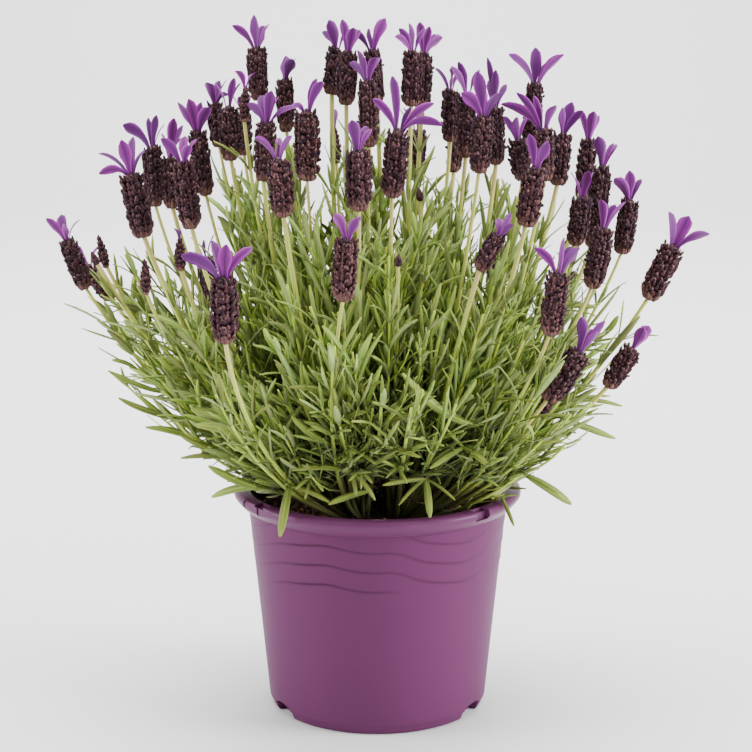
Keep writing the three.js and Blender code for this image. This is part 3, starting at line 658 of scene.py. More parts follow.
@dataclass(frozen=True)
class LeafFinish(Finish):
    """A felted leaf: green above with a pale rib, grey-green below, paler at its tip, with painted shade near
    the crown.
    """

    # The painted shade of leaves inside the plant, near the crown.
    painted_shade: Colour = srgb(36, 46, 9)
    above: Colour = srgb(96, 118, 28)
    below: Colour = srgb(140, 156, 84)
    rib: Colour = srgb(158, 174, 74)
    tip: Colour = srgb(132, 150, 50)
    name = "leaf"
    mottle = (0.75, 60.0, 0.35)
    grain = (1400.0, 0.25)
    shader = {"Roughness": 0.6, "Specular IOR Level": 0.35, "Sheen Weight": 0.1}

    def colour(self, graph: Graph) -> Socket:
        """Returns the colour."""
        top = graph.mix(graph.ramp(0.3, 1.0, graph.mark("along")), self.above, self.tip)
        top = graph.mix(graph.times(graph.ramp(0.3, 0.05, graph.off_middle()), 0.7), top, self.rib)
        colour = graph.mix(graph.ramp(0.45, 0.6, graph.mark("under")), top, self.below)
        # Painted shade: leaves darken towards the crown, where shade falls inside the plant.
        return graph.mix(graph.times(graph.mark("depth"), 0.85), colour, self.painted_shade)


@dataclass(frozen=True)
class StalkFinish(Finish):
    """A green stalk that turns beige and pink below the flower; near the crown it is woody brown, and its
    darkening there is partly painted shade.
    """

    # Woody brown near the crown, made darker than the wood itself as painted shade.
    wood_and_shade: Colour = srgb(58, 50, 20)
    low: Colour = srgb(178, 198, 66)
    high: Colour = srgb(184, 192, 82)
    flush: Colour = srgb(178, 158, 96)
    name = "stalk"
    mottle = (0.3, 40.0, 0.25)
    grain = (1200.0, 0.2)
    shader = {"Roughness": 0.58, "Sheen Weight": 0.1}

    def colour(self, graph: Graph) -> Socket:
        """Returns the colour."""
        along = graph.mark("along")
        colour = graph.mix(graph.ramp(0.5, 0.85, along), self.low, self.high)
        colour = graph.mix(graph.times(graph.ramp(0.78, 1.0, along), graph.mark("tone")), colour, self.flush)
        # Near the crown the stalk is woody and also darkened by painted shade.
        return graph.mix(graph.times(graph.mark("depth"), 0.9), colour, self.wood_and_shade)


@dataclass(frozen=True)
class CalyxFinish(Finish):
    """A calyx: nearly black inside its ranks, with woolly pink-brown edges, olive at the spike's foot."""

    dark: Colour = srgb(34, 12, 20)
    scale: Colour = srgb(112, 70, 76)
    edge: Colour = srgb(146, 106, 108)
    foot: Colour = srgb(120, 84, 78)
    name = "calyx"
    mottle = (0.7, 200.0, 0.5)
    grain = (1500.0, 0.5)
    shader = {"Roughness": 0.75, "Specular IOR Level": 0.2}

    def colour(self, graph: Graph) -> Socket:
        """Returns the colour."""
        rim = graph.math("MAXIMUM", graph.off_middle(), graph.ramp(0.5, 1.0, graph.mark("along")))
        wool = graph.times(graph.ramp(0.5, 1.0, rim), graph.ramp(0.46, 0.66, graph.noise(1100.0)))
        pink = graph.times(graph.mark("blush"), graph.ramp(0.35, 0.62, graph.noise(620.0)))
        colour = graph.mix(graph.times(wool, 0.7), graph.mix(pink, self.dark, self.scale), self.edge)
        return graph.mix(graph.times(graph.ramp(0.13, 0.0, graph.mark("height")), 0.65), colour, self.foot)


@dataclass(frozen=True)
class BractFinish(Finish):
    """A violet bract with a darker midrib and veins, brightest near its edges."""

    petal: Colour = srgb(98, 15, 106)
    rib: Colour = srgb(58, 12, 70)
    glow: Colour = srgb(144, 40, 150)
    name = "bract"
    mottle = (0.6, 90.0, 0.3)
    grain = (1600.0, 0.2)
    shader = {"Roughness": 0.6, "Specular IOR Level": 0.3, "Sheen Weight": 0.08}

    def colour(self, graph: Graph) -> Socket:
        """Returns the colour."""
        off_middle = graph.off_middle()
        veins = graph.math("ABSOLUTE", graph.math("SINE", graph.times(graph.mark("across"), 14.0)))
        colour = graph.mix(graph.ramp(0.3, 1.1, off_middle), self.petal, self.glow)
        colour = graph.mix(graph.times(graph.ramp(0.5, 0.0, veins), 0.45), colour, self.petal)
        middle = graph.times(graph.ramp(0.3, 0.02, off_middle), graph.ramp(0.25, 0.6, graph.mark("tone")))
        colour = graph.mix(graph.times(middle, 0.75), colour, self.rib)
        return graph.mix(graph.ramp(0.26, 0.0, graph.mark("along")), colour, self.rib)


@dataclass(frozen=True)
class FloretFinish(Finish):
    """The tiny open flowers between the calyces, almost black."""

    lobe: Colour = srgb(40, 18, 44)
    name = "floret"
    mottle = (0.6, 200.0, 0.4)
    grain = (1500.0, 0.3)
    shader = {"Roughness": 0.6, "Specular IOR Level": 0.3}

    def colour(self, graph: Graph) -> Colour:
        """Returns the colour."""
        return self.lobe


# The pot


@dataclass
class Pot:
    """The moulded pot: a profile turned about Z, with wave ledges on the wall and cuts through rim and foot.

    Attributes:
        height: Height of the rim's top.
        foot_radius: The wall's outer radius at its foot.
        foot_height: Where the wall starts.
        wall_top_radius: The wall's outer radius under the collar.
        wall_top_height: Where the wall ends.
        wall: The wall's thickness.
        foot_wall: The same low down, where the notches cut it.
        floor: The bottom's thickness.
        columns: Points round the pot.
        wave_lines: Heights of the wave lines.
        wave: Degrees from the front, rise and strength of a wave line at its measured points.
        lowest: Degrees from the front and strength of the lowest line, which is missing in part.
        ledge: How far the wall stands proud above a line.
        notch_angles: Degrees from the front of the drainage notches, as below of the rim's parts.
        pocket_angles: The same of its pockets.
        lug_angles: The same of the lugs.
        gap_angles: The same of the gaps.
    """

    height: float = 117.0
    foot_radius: float = 57.2
    foot_height: float = 4.6
    wall_top_radius: float = 67.3
    wall_top_height: float = 107.3
    wall: float = 1.8
    foot_wall: float = 8.5
    floor: float = 2.2
    columns: int = 256
    wave_lines: tuple[float, ...] = (107.3, 97.0, 86.7, 76.4)
    wave: tuple[tuple[float, float, float], ...] = (
        *((-79, -7.4, 0.45), (-70, -6.2, 0.3), (-58, -2.0, 0.25), (-47, 1.6, 0.5), (-36, 3.0, 1.0)),
        *((-22, 5.2, 0.9), (-14, 3.3, 0.7), (-5, 2.1, 0.65), (9, 2.4, 0.45), (18, -2.6, 0.55)),
        *((26, -4.9, 0.6), (41, -7.4, 0.4)),
    )
    lowest: tuple[tuple[float, float], ...] = ((-64, 0), (-50, 1), (2, 1), (12, 0))
    ledge: float = 0.36
    notch_angles: tuple[float, ...] = (-60.0, 60.0, 120.0, -120.0)
    pocket_angles: tuple[float, ...] = (-54.0, 45.0, 126.0, -135.0)
    lug_angles: tuple[float, ...] = (-54.0, 126.0)
    gap_angles: tuple[float, ...] = (45.0, -135.0)

    def outer(self, height: Array) -> Array:
        """Returns the wall's outer radius, which widens evenly from the foot to the collar."""
        slope = (self.wall_top_radius - self.foot_radius) / (self.wall_top_height - self.foot_height)
        return self.foot_radius + slope * (height - self.foot_height)

    def lines(self, angle: Array, height: Array) -> list[tuple[Array, Array]]:
        """How far points lie above each wave line, and how strong the line is there.

        A line lies at its own height plus the wave's, which repeats every third of a turn and is read off
        straight pieces between its measured points, averaged over a few degrees to round their corners. The
        lowest line is missing from a part of each turn.

        Args:
            angle: Angles round the pot, counted from +X.
            height: Heights of the points.

        Returns:
            Distances upwards and strengths from 0 to 1, one pair of arrays for each line.
        """
        places, heights, depths = np.array(self.wave, float).T
        from_front = np.degrees(angle) + 90
        spread = from_front[..., None] + np.linspace(-4, 4, 7)
        wave = np.interp(spread, places, heights, period=120).mean(axis=-1)
        depth = np.interp(from_front, places, depths, period=120)
        there = np.interp(from_front, *np.array(self.lowest, float).T, period=120)
        low = min(self.wave_lines)
        return [(height - line - wave, depth * (there if line == low else 1)) for line in self.wave_lines]

    def ledges(self, angle: Array, height: Array) -> Array:
        """How far the wall stands proud: at once above each wave line, and less and less farther up."""
        proud = np.zeros(np.broadcast(angle, height).shape)
        for above, strength in self.lines(angle, height):
            step = 1 / (1 + np.exp(-np.clip(above, -20, 20) / 0.22))
            proud += self.ledge * strength * step * np.exp(-np.clip(above, 0, None) / 4.5)
        return proud * np.clip((self.wall_top_height - height) / 0.6, 0, 1)

    def painted_groove_shade(self, points: Array) -> Array:
        """Returns the painted shade of points under the wave ledges: exp(-(d / 0.6)^2) at d from the middle
        of each shaded line.
        """
        x, y, height = points.T
        lines = self.lines(np.arctan2(y, x), height)
        painted_shade = sum(strength * np.exp(-(((above + 0.35) / 0.6) ** 2)) for above, strength in lines)
        on_wall = (np.hypot(x, y) > self.outer(height) - 0.3) & (height < self.wall_top_height)
        return np.clip(painted_shade, 0, 1) * on_wall

    def profile(self) -> Array:
        """Returns the profile as rows of radius, height and how much of the ledges it takes."""
        low = [(0, 0), (30, 0), (54, 0), (54.9, 0.35), (55.6, 1.2), (56.1, 2.6), (56.4, 3.8), (57.0, 4.4)]
        heights = np.concatenate([np.linspace(4.7, 66, 26), np.arange(66.5, self.wall_top_height, 0.45)])
        rim = [
            *((67.4, 107.35), (68.6, 107.9), (70.2, 108.4), (71.0, 109.1), (72.6, 110.8), (74.2, 112.6)),
            *((74.9, 113.6), (75.0, 114.6), (74.8, 115.6), (74.2, 116.5), (73.3, 117.0), (71.0, 117.0)),
            *((68.2, 116.9), (67.2, 116.6), (66.5, 115.8), (66.2, 114.5)),
        ]
        inside = np.array([110.0, 90, 70, 50, 30, 16, 11, self.floor])
        lining = self.outer(inside) - np.where(inside > 14, self.wall, self.foot_wall)
        rest = [*rim, *zip(lining, inside), (0, self.floor)]
        wall = np.stack([self.outer(heights), heights, np.ones_like(heights)], axis=-1)
        bottom, top = (np.pad(np.array(rows, float), ((0, 0), (0, 1))) for rows in (low, rest))
        return np.concatenate([bottom, wall, top])

    def shell(self) -> Skin:
        """Returns the turned wall: the profile's radius and ledges at each angle, its end rows as poles."""
        rows = self.profile()
        angle = np.arange(self.columns) * 2 * np.pi / self.columns
        radius, height, share = rows[1:-1].T[:, :, None]
        radius = radius + share * self.ledges(angle[None], height)
        level = np.broadcast_to(height, radius.shape)
        grid = np.stack([radius * np.cos(angle), radius * np.sin(angle), level], axis=-1)
        points, *faces = capped(grid, rows[0, 1], rows[-1, 1])
        return Skin(points, faces)

    def cutter(
        self, name: str, outline: Sequence[tuple[float, float]], angle: float, near: float, far: float
    ) -> bpy.types.Object:
        """Makes a prism that stands on the wall: its outline runs round the pot and up, its depth outwards.

        Args:
            name: Its name.
            outline: Corners as distance round and height, counter-clockwise seen from outside.
            angle: Degrees round the pot from its front.
            near: Radius of its inner end.
            far: Radius of its outer end.

        Returns:
            The cutter, which is not part of the object.
        """
        turn = math.radians(angle - 90)
        out = np.array([math.cos(turn), math.sin(turn), 0])
        face = np.array(outline)
        flat = face[:, :1] * np.array([-math.sin(turn), math.cos(turn), 0]) + face[:, 1:] * UP
        ring = np.arange(len(face))
        behind = ring + len(face)
        sides = np.stack([ring, np.roll(ring, -1), np.roll(behind, -1), behind], axis=-1)
        mesh = bpy.data.meshes.new(name)
        points = np.concatenate([flat + out * near, flat + out * far]) * MM
        mesh.from_pydata(points.tolist(), [], [ring[::-1].tolist(), behind.tolist(), *sides.tolist()])
        return put_in(name, mesh)

    def cutters(self) -> list[bpy.types.Object]:
        """Returns the arched drainage notches, the rim's pockets, and its lugs' flats, slots and gaps."""
        arch = [(8.8, -1.0), (8.6, 2.2)]
        arch += [(8.2 * math.cos(t), 3.2 + 4.1 * math.sin(t) ** 0.7) for t in np.linspace(0, np.pi, 9)[1:-1]]
        arch += [(-8.6, 2.2), (-8.8, -1.0)]
        above = self.height + 1

        def oblong(half: float, low: float) -> list[tuple[float, float]]:
            """Returns the outline of a cut that is open at the top."""
            return [(half, low), (half, above), (-half, above), (-half, low)]

        cuts = [(arch, angle, 50.5, 63.0) for angle in self.notch_angles]
        cuts += [(oblong(4.0, self.height - 1.4), angle, 68.9, 73.9) for angle in self.pocket_angles]
        cuts += [(oblong(13.5, 112.0), angle, 73.6, 80.0) for angle in self.lug_angles]
        slots = [angle + turn for angle in self.lug_angles for turn in (-11.0, -1.0)]
        cuts += [(oblong(0.8, 110.8), angle, 71.2, 80.0) for angle in slots]
        cuts += [(oblong(4.6, 112.0), angle, 71.6, 80.0) for angle in self.gap_angles]
        return [self.cutter(f"cut_{k}", *cut) for k, cut in enumerate(cuts)]

    def build(self) -> None:
        """Makes the shell, cuts it, and puts it in the place of its solid."""
        pot = make_piece("pot_shell", [self.shell()], [MouldedPlastic().make()])
        cutters = self.cutters()
        for cutter in cutters:
            cut = pot.modifiers.new(cutter.name, "BOOLEAN")
            cut.operation = "DIFFERENCE"
            cut.solver = "EXACT"
            cut.object = cutter
        mesh = bpy.data.meshes.new_from_object(pot.evaluated_get(bpy.context.evaluated_depsgraph_get()))
        pot.modifiers.clear()
        pot.data = mesh
        for cutter in cutters:
            bpy.data.objects.remove(cutter)
        mesh.polygons.foreach_set("use_smooth", np.ones(len(mesh.polygons), bool))
        mesh.set_sharp_from_angle(angle=math.radians(38))
        points = np.empty(len(mesh.vertices) * 3, np.float32)
        mesh.vertices.foreach_get("co", points)
        places = points.reshape(-1, 3).astype(float) / MM
        # The painted shade under the wave ledges, which the plastic's colour reads.
        set_mark(mesh, "groove_shade", self.painted_groove_shade(places))
        set_mark(mesh, "rim", np.clip((places[:, 2] - self.wall_top_height) / 2, 0, 1))
        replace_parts(pot, "pot")


@dataclass
class Soil:
    """The compost: a rough disc over a plain plug, strewn with crumbs.

    Attributes:
        top: Height of its ground.
        radius: Radius of its ground.
        plug: The plug's radii and heights, from top to bottom.
        columns: Points round it.
        rings: Rings of the ground.
        crumbs: How many crumbs lie on it.
    """

    top: float = 105.0
    radius: float = 64.6
    plug: tuple[tuple[float, float], ...] = ((60.0, 60.0), (56.2, 16.8), (48.6, 11.4), (48.0, 2.5))
    columns: int = 120
    rings: int = 42
    crumbs: int = 1100

    def ground(self) -> Skin:
        """Returns the plug: rings out to the wall and down it, the top lifted by layered sines of x and y."""
        angle = np.arange(self.columns) * 2 * np.pi / self.columns
        radii, heights = zip(*self.plug)
        radius = np.concatenate([np.linspace(1.5, self.radius, self.rings), radii])
        height = np.concatenate([np.full(self.rings, self.top), heights])[:, None]
        x, y = radius[:, None] * np.cos(angle), radius[:, None] * np.sin(angle)
        bump = 0.7 * np.sin(x * 0.31 + 1.3) * np.sin(y * 0.27) + 0.5 * np.sin(x * 0.83 + y * 0.6)
        bump = bump + 0.35 * np.sin(y * 1.7 - x * 1.1)
        grid = np.stack([x, y, height + bump * (height == self.top)], axis=-1)
        points, walls, caps = capped(grid, self.top + 0.6, heights[-1])
        return Skin(points, [walls[:, [0, 3, 2, 1]], caps[:, [0, 2, 1]]], {"tone": np.full(len(points), 0.3)})

    def strewn(self, rng: Rng) -> Skin:
        """Returns the crumbs: short swept lumps of any turn, coarser than the ground's own bumps."""
        count = self.crumbs
        angle = rng.uniform(0, 2 * np.pi, count)
        radius = self.radius * np.sqrt(rng.uniform(0, 1, count)) - 1
        size = rng.uniform(0.6, 2.2, count) * rng.uniform(0.5, 1, count)
        height = self.top + 0.5 + 0.3 * size
        middle = np.stack([radius * np.cos(angle), radius * np.sin(angle), height], axis=-1)
        way = unit(rng.normal(size=(count, 3)) * (1, 1, 0.45))
        facing = unit(rng.normal(size=(count, 3)))
        reach = np.array([-0.6, 0.0, 0.6]) * rng.uniform(0.8, 1.7, (count, 1)) * size[:, None]
        spine = middle[:, None] + way[:, None] * reach[..., None]
        half = size[:, None] * np.array([0.75, 1.0, 0.7]) * rng.uniform(0.7, 1.0, (count, 3))
        return sweep(spine, facing, half, half * 0.7, 5, tone=rng.uniform(0, 1, count))

    def build(self, rng: Rng) -> None:
        """Makes the compost in the place of its solid."""
        soil = make_piece("compost", [self.ground(), self.strewn(rng)], [Compost().make()])
        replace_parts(soil, "soil")


# The plant


class Room:
    """Where the pot and the soil leave room: heights that a leaf stays above, by distance from the middle.

    The plant's underside rises outwards. In front, the leaves part over the compost, more the nearer they
    are.

    Attributes:
        radii: Distances from the middle at which the room's floor is stated.
        floors: The floor's heights there.
        reaches: Distances at which the plant's underside is stated.
        undersides: The underside's heights there.
        parting: Between which x the leaves part.
        slope: How fast the parting rises towards the camera.
        parted_at: How high it is over the pot's middle.
        lowest_start: The height under which no leaf starts.
    """

    radii = (0.0, 63.0, 66.5, 77.0, 79.0, 80.0)
    floors = (107.5, 107.5, 119.0, 119.0, 96.0, -50.0)
    reaches = (66.0, 77.0, 86.0, 96.0, 116.0, 136.0)
    undersides = (119.5, 123.0, 139.0, 148.0, 165.0, 178.0)
    parting = (-42.0, 58.0)
    slope = 0.28
    parted_at = 116.0
    lowest_start = 118.0

    @classmethod
    def lifted(cls, spine: Array) -> Array:
        """Returns spines raised, station by station, to where they have room."""
        radius = np.hypot(spine[..., 0], spine[..., 1])
        lift = np.maximum(np.interp(radius, cls.radii, cls.floors) - spine[..., 2], 0)
        return spine + lift[..., None] * UP

    @classmethod
    def dry(cls, spine: Array, slack: Array) -> NDArray[np.bool_]:
        """Tells which leaves leave the compost and the rim in sight.

        Those start above both and stay above the plant's underside at their distance from the middle, and
        above the plane that falls to the compost behind the parting.

        Args:
            spine: Points along each leaf, shape (leaves, stations, 3).
            slack: How far each may hang below the underside.

        Returns:
            Whether each leaf does.
        """
        x, y, height = np.moveaxis(spine, -1, 0)
        under = np.interp(np.hypot(x, y), cls.reaches, cls.undersides) - slack[:, None]
        under = np.maximum(under, cls.undersides[0])
        parted = (x > cls.parting[0]) & (x < cls.parting[1]) & (y < 0)
        least = np.where(parted, np.maximum(under, cls.parted_at - cls.slope * y), under)
        return (height[:, 0] > cls.lowest_start) & (height > least).all(axis=1)


@dataclass
class FlowerHeads:
    """The flower heads of one branch: ranks of dark calyces, pinkish scales between them, florets and bracts.

    Attributes:
        flowers: The flowers with their numbers.
        rng: The seeded source of the scatter.
        row_pitch: How far the calyces' rows lie apart.
        bract_reach: How far a bract's tip lies from the spike's top, from which its depth follows.
    """

    flowers: Sequence[tuple[int, Flower]]
    rng: Rng
    row_pitch: float = 2.6
    bract_reach: float = 16.0

    def core(self, flower: Flower) -> Skin:
        """Returns the spike's core, a round body a little thinner than the calyces reach."""
        bud = flower.thick < SMALL_BUD
        at = np.linspace(0, 1, 9)
        spine = (flower.base + (flower.top - flower.base) * at[:, None])[None]
        radius = (0.5 if bud else 0.38) * flower.thick * flower.swell(at)[None]
        skin = sweep(spine, flower.square[1][None], radius, radius, 8)
        skin.marks["height"] = np.full(len(skin.points), 0.6)
        skin.marks["blush"] = np.full(len(skin.points), 0.6 if bud else 0.0)
        return skin

    def around(self, flower: Flower, turn: Array) -> Array:
        """Returns the ways out of a spike at angles about it."""
        right, back = flower.square
        return np.cos(turn)[:, None] * right + np.sin(turn)[:, None] * back

    def calyces(self, flower: Flower) -> Skin:
        """Returns the calyces and the scales between them, in upright ranks.

        Every second rank is of pinkish scales that lie close, and the one between is of dark calyces that
        stand proud and scatter more. Each starts on the core at its rank's angle and ends farther out and
        about one and a half row pitches up.

        Args:
            flower: The flower.

        Returns:
            The skin, also marked with its height on the spike and its blush.
        """
        rng = self.rng
        closed = flower.thick < CLOSED_SPIKE
        length = float(np.linalg.norm(flower.top - flower.base))
        rows = max(5, round(length / self.row_pitch))
        ranks = 10 if flower.thick < FULL_SPIKE else 14
        row, rank = (a.ravel() for a in np.meshgrid(np.arange(rows), np.arange(ranks), indexing="ij"))
        count = len(row)
        scale = (rank % 2 == 0) | closed
        turn = rng.uniform(0, 2 * np.pi) + rank * 2 * np.pi / ranks
        out = self.around(flower, turn + rng.normal(0, np.where(scale, 0.03, 0.07), count))
        at = (row + rng.uniform(-0.35, 0.45, count) * np.where(scale, 0.5, 1.0)) / rows * 0.97
        at = np.clip(at, 0, 0.88 if closed else 0.97)
        radius = 0.5 * flower.thick * flower.swell(np.clip(at + 0.04, 0, 1))
        foot = flower.base + flower.axis * (at * length)[:, None]
        reach = self.row_pitch * rng.uniform(1.0, 1.7, count) * (0.55 if closed else 1.0)
        proud = np.where(scale, rng.uniform(0.86, 1.0, count), rng.uniform(0.92, 1.12, count))
        proud = proud * (0.92 if closed else 1.0)
        t = np.linspace(0, 1, 3)[None, :, None]
        low = (foot + out * (radius * 0.6)[:, None])[:, None]
        high = (foot + out * (radius * proud)[:, None] + flower.axis * reach[:, None])[:, None]
        belly = out[:, None] * (radius * 0.55)[:, None, None] * t * (1 - t)
        shape = np.where(scale[:, None], np.array([0.75, 1.0, 0.4]), np.array([0.7, 0.9, 0.7]))
        width = (2 * np.pi * radius / ranks * rng.uniform(0.5, 0.72, count))[:, None] * shape
        thick = width * np.where(scale, 0.35, 0.7)[:, None]
        tone = 0.45 * rng.uniform(0, 1) + 0.55 * rng.uniform(0, 1, count)
        skin = sweep(low * (1 - t) + high * t + belly, out, width, thick, 4, cup=0.2, tone=tone)
        blush = np.where(scale, rng.uniform(0.5, 1.0, count), rng.uniform(0, 0.6, count) ** 2)
        blush *= np.interp(flower.base[1], (-90, -20, 60), (1.0, 0.62, 0.45))
        each = len(skin.points) // count
        skin.marks |= {"height": np.repeat(at, each), "blush": np.repeat(blush, each)}
        return skin

    def florets(self, flower: Flower) -> Skin:
        """Returns the open florets: small dark cups that stick out between the calyces."""
        rng = self.rng
        count = 14 if flower.thick >= FULL_SPIKE else 6
        turn = rng.uniform(0, 2 * np.pi, count)
        at = rng.uniform(0.25, 0.97, count)
        out = self.around(flower, turn)
        foot = flower.base + (flower.top - flower.base) * at[:, None]
        radius = (0.5 * flower.thick * flower.swell(at))[:, None]
        way = unit(out + 0.6 * flower.axis)
        t = np.array([0.0, 0.6, 1.0])[None, :, None]
        spine = (foot + out * radius * 0.8)[:, None] + way[:, None] * rng.uniform(1.3, 2.6, (count, 1, 1)) * t
        half = np.array([0.45, 0.6, 0.85])[None] * rng.uniform(0.7, 1.1, (count, 1))
        facing = np.tile(flower.axis, (count, 1))
        return sweep(spine, facing, half, half, 4, tone=rng.uniform(0, 1, count), dress=2)

    def reaches(self, flower: Flower, owner: int) -> Array:
        """The ways from a spike's top to the tips of its bracts.

        The listed ones point forwards and back by turns, and an open flower has more that lean back, or all
        round where none is listed.

        Args:
            flower: The flower.
            owner: Its number, which seeds the rest.

        Returns:
            Vectors, one a row.
        """
        ways = []
        for k, (right, up) in enumerate(flower.tips):
            depth = math.sqrt(max(self.bract_reach**2 - right**2 - up**2, 9))
            ways.append((right, min(depth, 9) * (1 if (owner + k) % 2 else -1), up))
        if flower.thick >= CLOSED_SPIKE:
            first = math.radians(40 if ways else 20 + 50 * draw(owner, 5))
            for k in range(max(3 - len(ways), 1)):
                turn = first + math.radians(105) * k
                ways.append((8 * math.cos(turn), 8 * math.sin(turn), 10 + 3 * draw(owner, k)))
        return np.array(ways, float).reshape(-1, 3)

    def bracts(self, flower: Flower, ways: Array) -> Skin:
        """Returns the bracts: spatulate blades that leave the top along the spike and lean out to their tips.

        Each spine is a quadratic curve from the spike's top over a point above it to the tip. The half width
        is narrow at the claw, widest at two thirds and round at the end, and the blade twists along its
        length.

        Args:
            flower: The flower.
            ways: The ways from its top to the tips.

        Returns:
            The skin.
        """
        rng, axis = self.rng, flower.axis
        count = len(ways)
        aside = ways - (ways @ axis)[:, None] * axis
        reach = np.linalg.norm(ways, axis=1)
        start = flower.top - axis * 2.5 + unit(aside) * 0.1 * flower.thick
        knee = flower.top + axis * (0.45 * reach)[:, None] + aside * 0.25
        t = np.linspace(0, 0.99, 11)
        spine = quadratic(start, knee, flower.top + ways, t)
        shares = (0.3, 0.34, 0.58, 0.92, 1.0, 0.84, 0.6, 0.25)
        shape = np.interp(t, (0, 0.2, 0.4, 0.6, 0.75, 0.88, 0.95, 1), shares)
        listed = np.arange(count) < len(flower.tips)
        most = rng.uniform(np.where(listed, 1.7, 1.3), np.where(listed, 3.1, 2.3))
        most = most * np.clip(reach / 14, 0.55, 1.1) * np.where(listed, flower.broad, 1.0)
        ripple = 1 + 0.08 * np.sin(t[None] * 11 + rng.uniform(0, 6, (count, 1)))
        width = most[:, None] * shape * ripple
        inward = axis * 0.7 - unit(aside) * 0.6 + rng.normal(0, 0.3, (count, 3))
        inward[listed] += np.array([0, -1.8, 0]) * rng.choice([-1, 1], (len(flower.tips), 1))
        facing = twisted(unit(inward), spine, rng.normal(0, 0.45, (count, 1)) * t[None])
        tone = rng.uniform(0, 1, count)
        return sweep(spine, facing, width, np.full_like(width, 0.22), 8, cup=-0.22, tone=tone, dress=1)

    def build(self, name: str, nodes: Sequence[str]) -> None:
        """Makes the heads as one piece in the place of their solids.

        Args:
            name: The piece's name.
            nodes: The solids that it stands for.
        """
        skins: list[Skin] = []
        for owner, flower in self.flowers:
            skins.append(self.core(flower))
            if flower.thick >= SMALL_BUD:
                skins.append(self.calyces(flower))
            if flower.thick >= CLOSED_SPIKE:
                skins.append(self.florets(flower))
            ways = self.reaches(flower, owner)
            if len(ways):
                skins.append(self.bracts(flower, ways))
        materials = [CalyxFinish().make(), BractFinish().make(), FloretFinish().make()]
        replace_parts(make_piece(name, skins, materials), *nodes)


@dataclass(frozen=True)
class Sight:
    """The photograph's view, which turns a place in the picture into one in the room."""

    distance: float = 1000.0
    height: float = 377.5
    pitch: float = 0.20
    focal: float = 1970.0
    frame: float = 752.0
    centre: float = 1.4

    def place(self, right: float, down: float, depth: float) -> Array:
        """Finds the point that shows at a pixel and lies at a depth, on the ray from the camera.

        Args:
            right: Pixels from the picture's left edge.
            down: Pixels from its top.
            depth: The point's y.

        Returns:
            The point.
        """
        cosine, sine = math.cos(self.pitch), math.sin(self.pitch)
        slope = (self.frame / 2 - down) / self.focal
        away = depth + self.distance
        drop = away * (slope * cosine - sine) / (cosine + slope * sine)
        along = away * cosine - drop * sine
        aside = (right - self.frame / 2 - self.centre) * along / self.focal
        return np.array([aside, depth, drop + self.height])


@dataclass(frozen=True)
class Spray:
    """A shoot whose outermost leaves stand out in the photograph.

    Attributes:
        end: Where it ends: pixels right and down, and y.
        leaves: Where the tips of its last leaves are, the same way, and half the width of each.
    """

    end: tuple[int, int, int]
    leaves: tuple[tuple[int, int, int, float], ...]


SPRAYS = (
    Spray((289, 486, -57), ((280, 536, -71, 2.1), (329, 502, -63, 1.2))),
    Spray((262, 488, -52), ((212, 497, -42, 1.8),)),
    Spray((262, 489, -54), ((209, 466, -45, 2.0),)),
    Spray((262, 438, -66), ((196, 425, -60, 2.3),)),
    Spray((224, 420, -50), ((192, 410, -46, 2.1),)),
    Spray((234, 459, -42), ((181, 458, -34, 1.6), (180, 435, -38, 1.4))),
    Spray((333, 394, -76), ((290, 387, -78, 1.7),)),
    Spray((333, 424, -72), ((365, 412, -80, 1.6),)),
    Spray((326, 442, -68), ((292, 417, -74, 1.7),)),
    Spray((352, 472, -62), ((292, 470, -64, 1.5), (356, 495, -68, 1.0), (375, 500, -67, 1.1))),
    Spray((369, 491, -60), ((329, 504, -63, 1.6),)),
    Spray((472, 424, -62), ((403, 374, -76, 2.4),)),
    Spray((384, 426, -70), ((410, 415, -78, 1.5),)),
    Spray((375, 443, -68), ((420, 457, -74, 1.7),)),
    Spray(
        (464, 447, -58),
        ((430, 468, -70, 1.6), (488, 465, -66, 1.7), (498, 461, -52, 1.6), (447, 429, -66, 0.9)),
    ),
    Spray(
        (426, 479, -60),
        ((383, 485, -68, 1.2), (455, 500, -70, 0.7), (430, 517, -73, 1.7), (399, 505, -65, 0.9)),
    ),
    Spray((526, 475, -24), ((492, 498, -42, 2.2), (571, 504, -20, 2.2), (559, 494, -30, 0.8))),
    Spray((500, 492, -36), ((514, 526, -49, 1.0),)),
    Spray((540, 458, -8), ((565, 448, -4, 1.0), (549, 460, -12, 1.0))),
    Spray((569, 422, -8), ((615, 438, -4, 2.0),)),
    Spray((575, 400, -2), ((622, 406, 6, 1.2), (610, 396, 2, 1.0))),
    Spray((566, 306, 0), ((595, 307, 4, 1.5),)),
    Spray((605, 333, 8), ((618, 316, 10, 1.5),)),
    Spray((161, 392, -10), ((109, 371, -6, 1.5),)),
    Spray((180, 419, -14), ((119, 398, -12, 1.7),)),
    Spray((172, 419, -12), ((140, 396, -8, 1.4),)),
    Spray((202, 442, -18), ((146, 427, -14, 2.0),)),
    Spray((137, 369, 4), ((112, 360, 8, 1.1),)),
    Spray((151, 322, 10), ((132, 284, 12, 1.6),)),
    Spray((120, 297, 16), ((121, 275, 18, 1.1), (114, 254, 16, 0.8))),
    Spray(
        (359, 452, -62),
        ((342, 438, -68, 0.9), (373, 436, -69, 0.9), (341, 462, -69, 0.9), (376, 464, -70, 0.9)),
    ),
    Spray((361, 470, -64), ((349, 481, -70, 0.8), (372, 483, -71, 0.8), (361, 489, -71, 0.7))),
    Spray(
        (397, 468, -60),
        ((380, 460, -66, 0.9), (413, 463, -66, 0.9), (386, 478, -69, 0.8), (407, 483, -69, 0.8)),
    ),
    Spray((311, 477, -58), ((296, 489, -65, 0.9), (323, 491, -67, 0.9), (305, 499, -68, 0.8))),
)


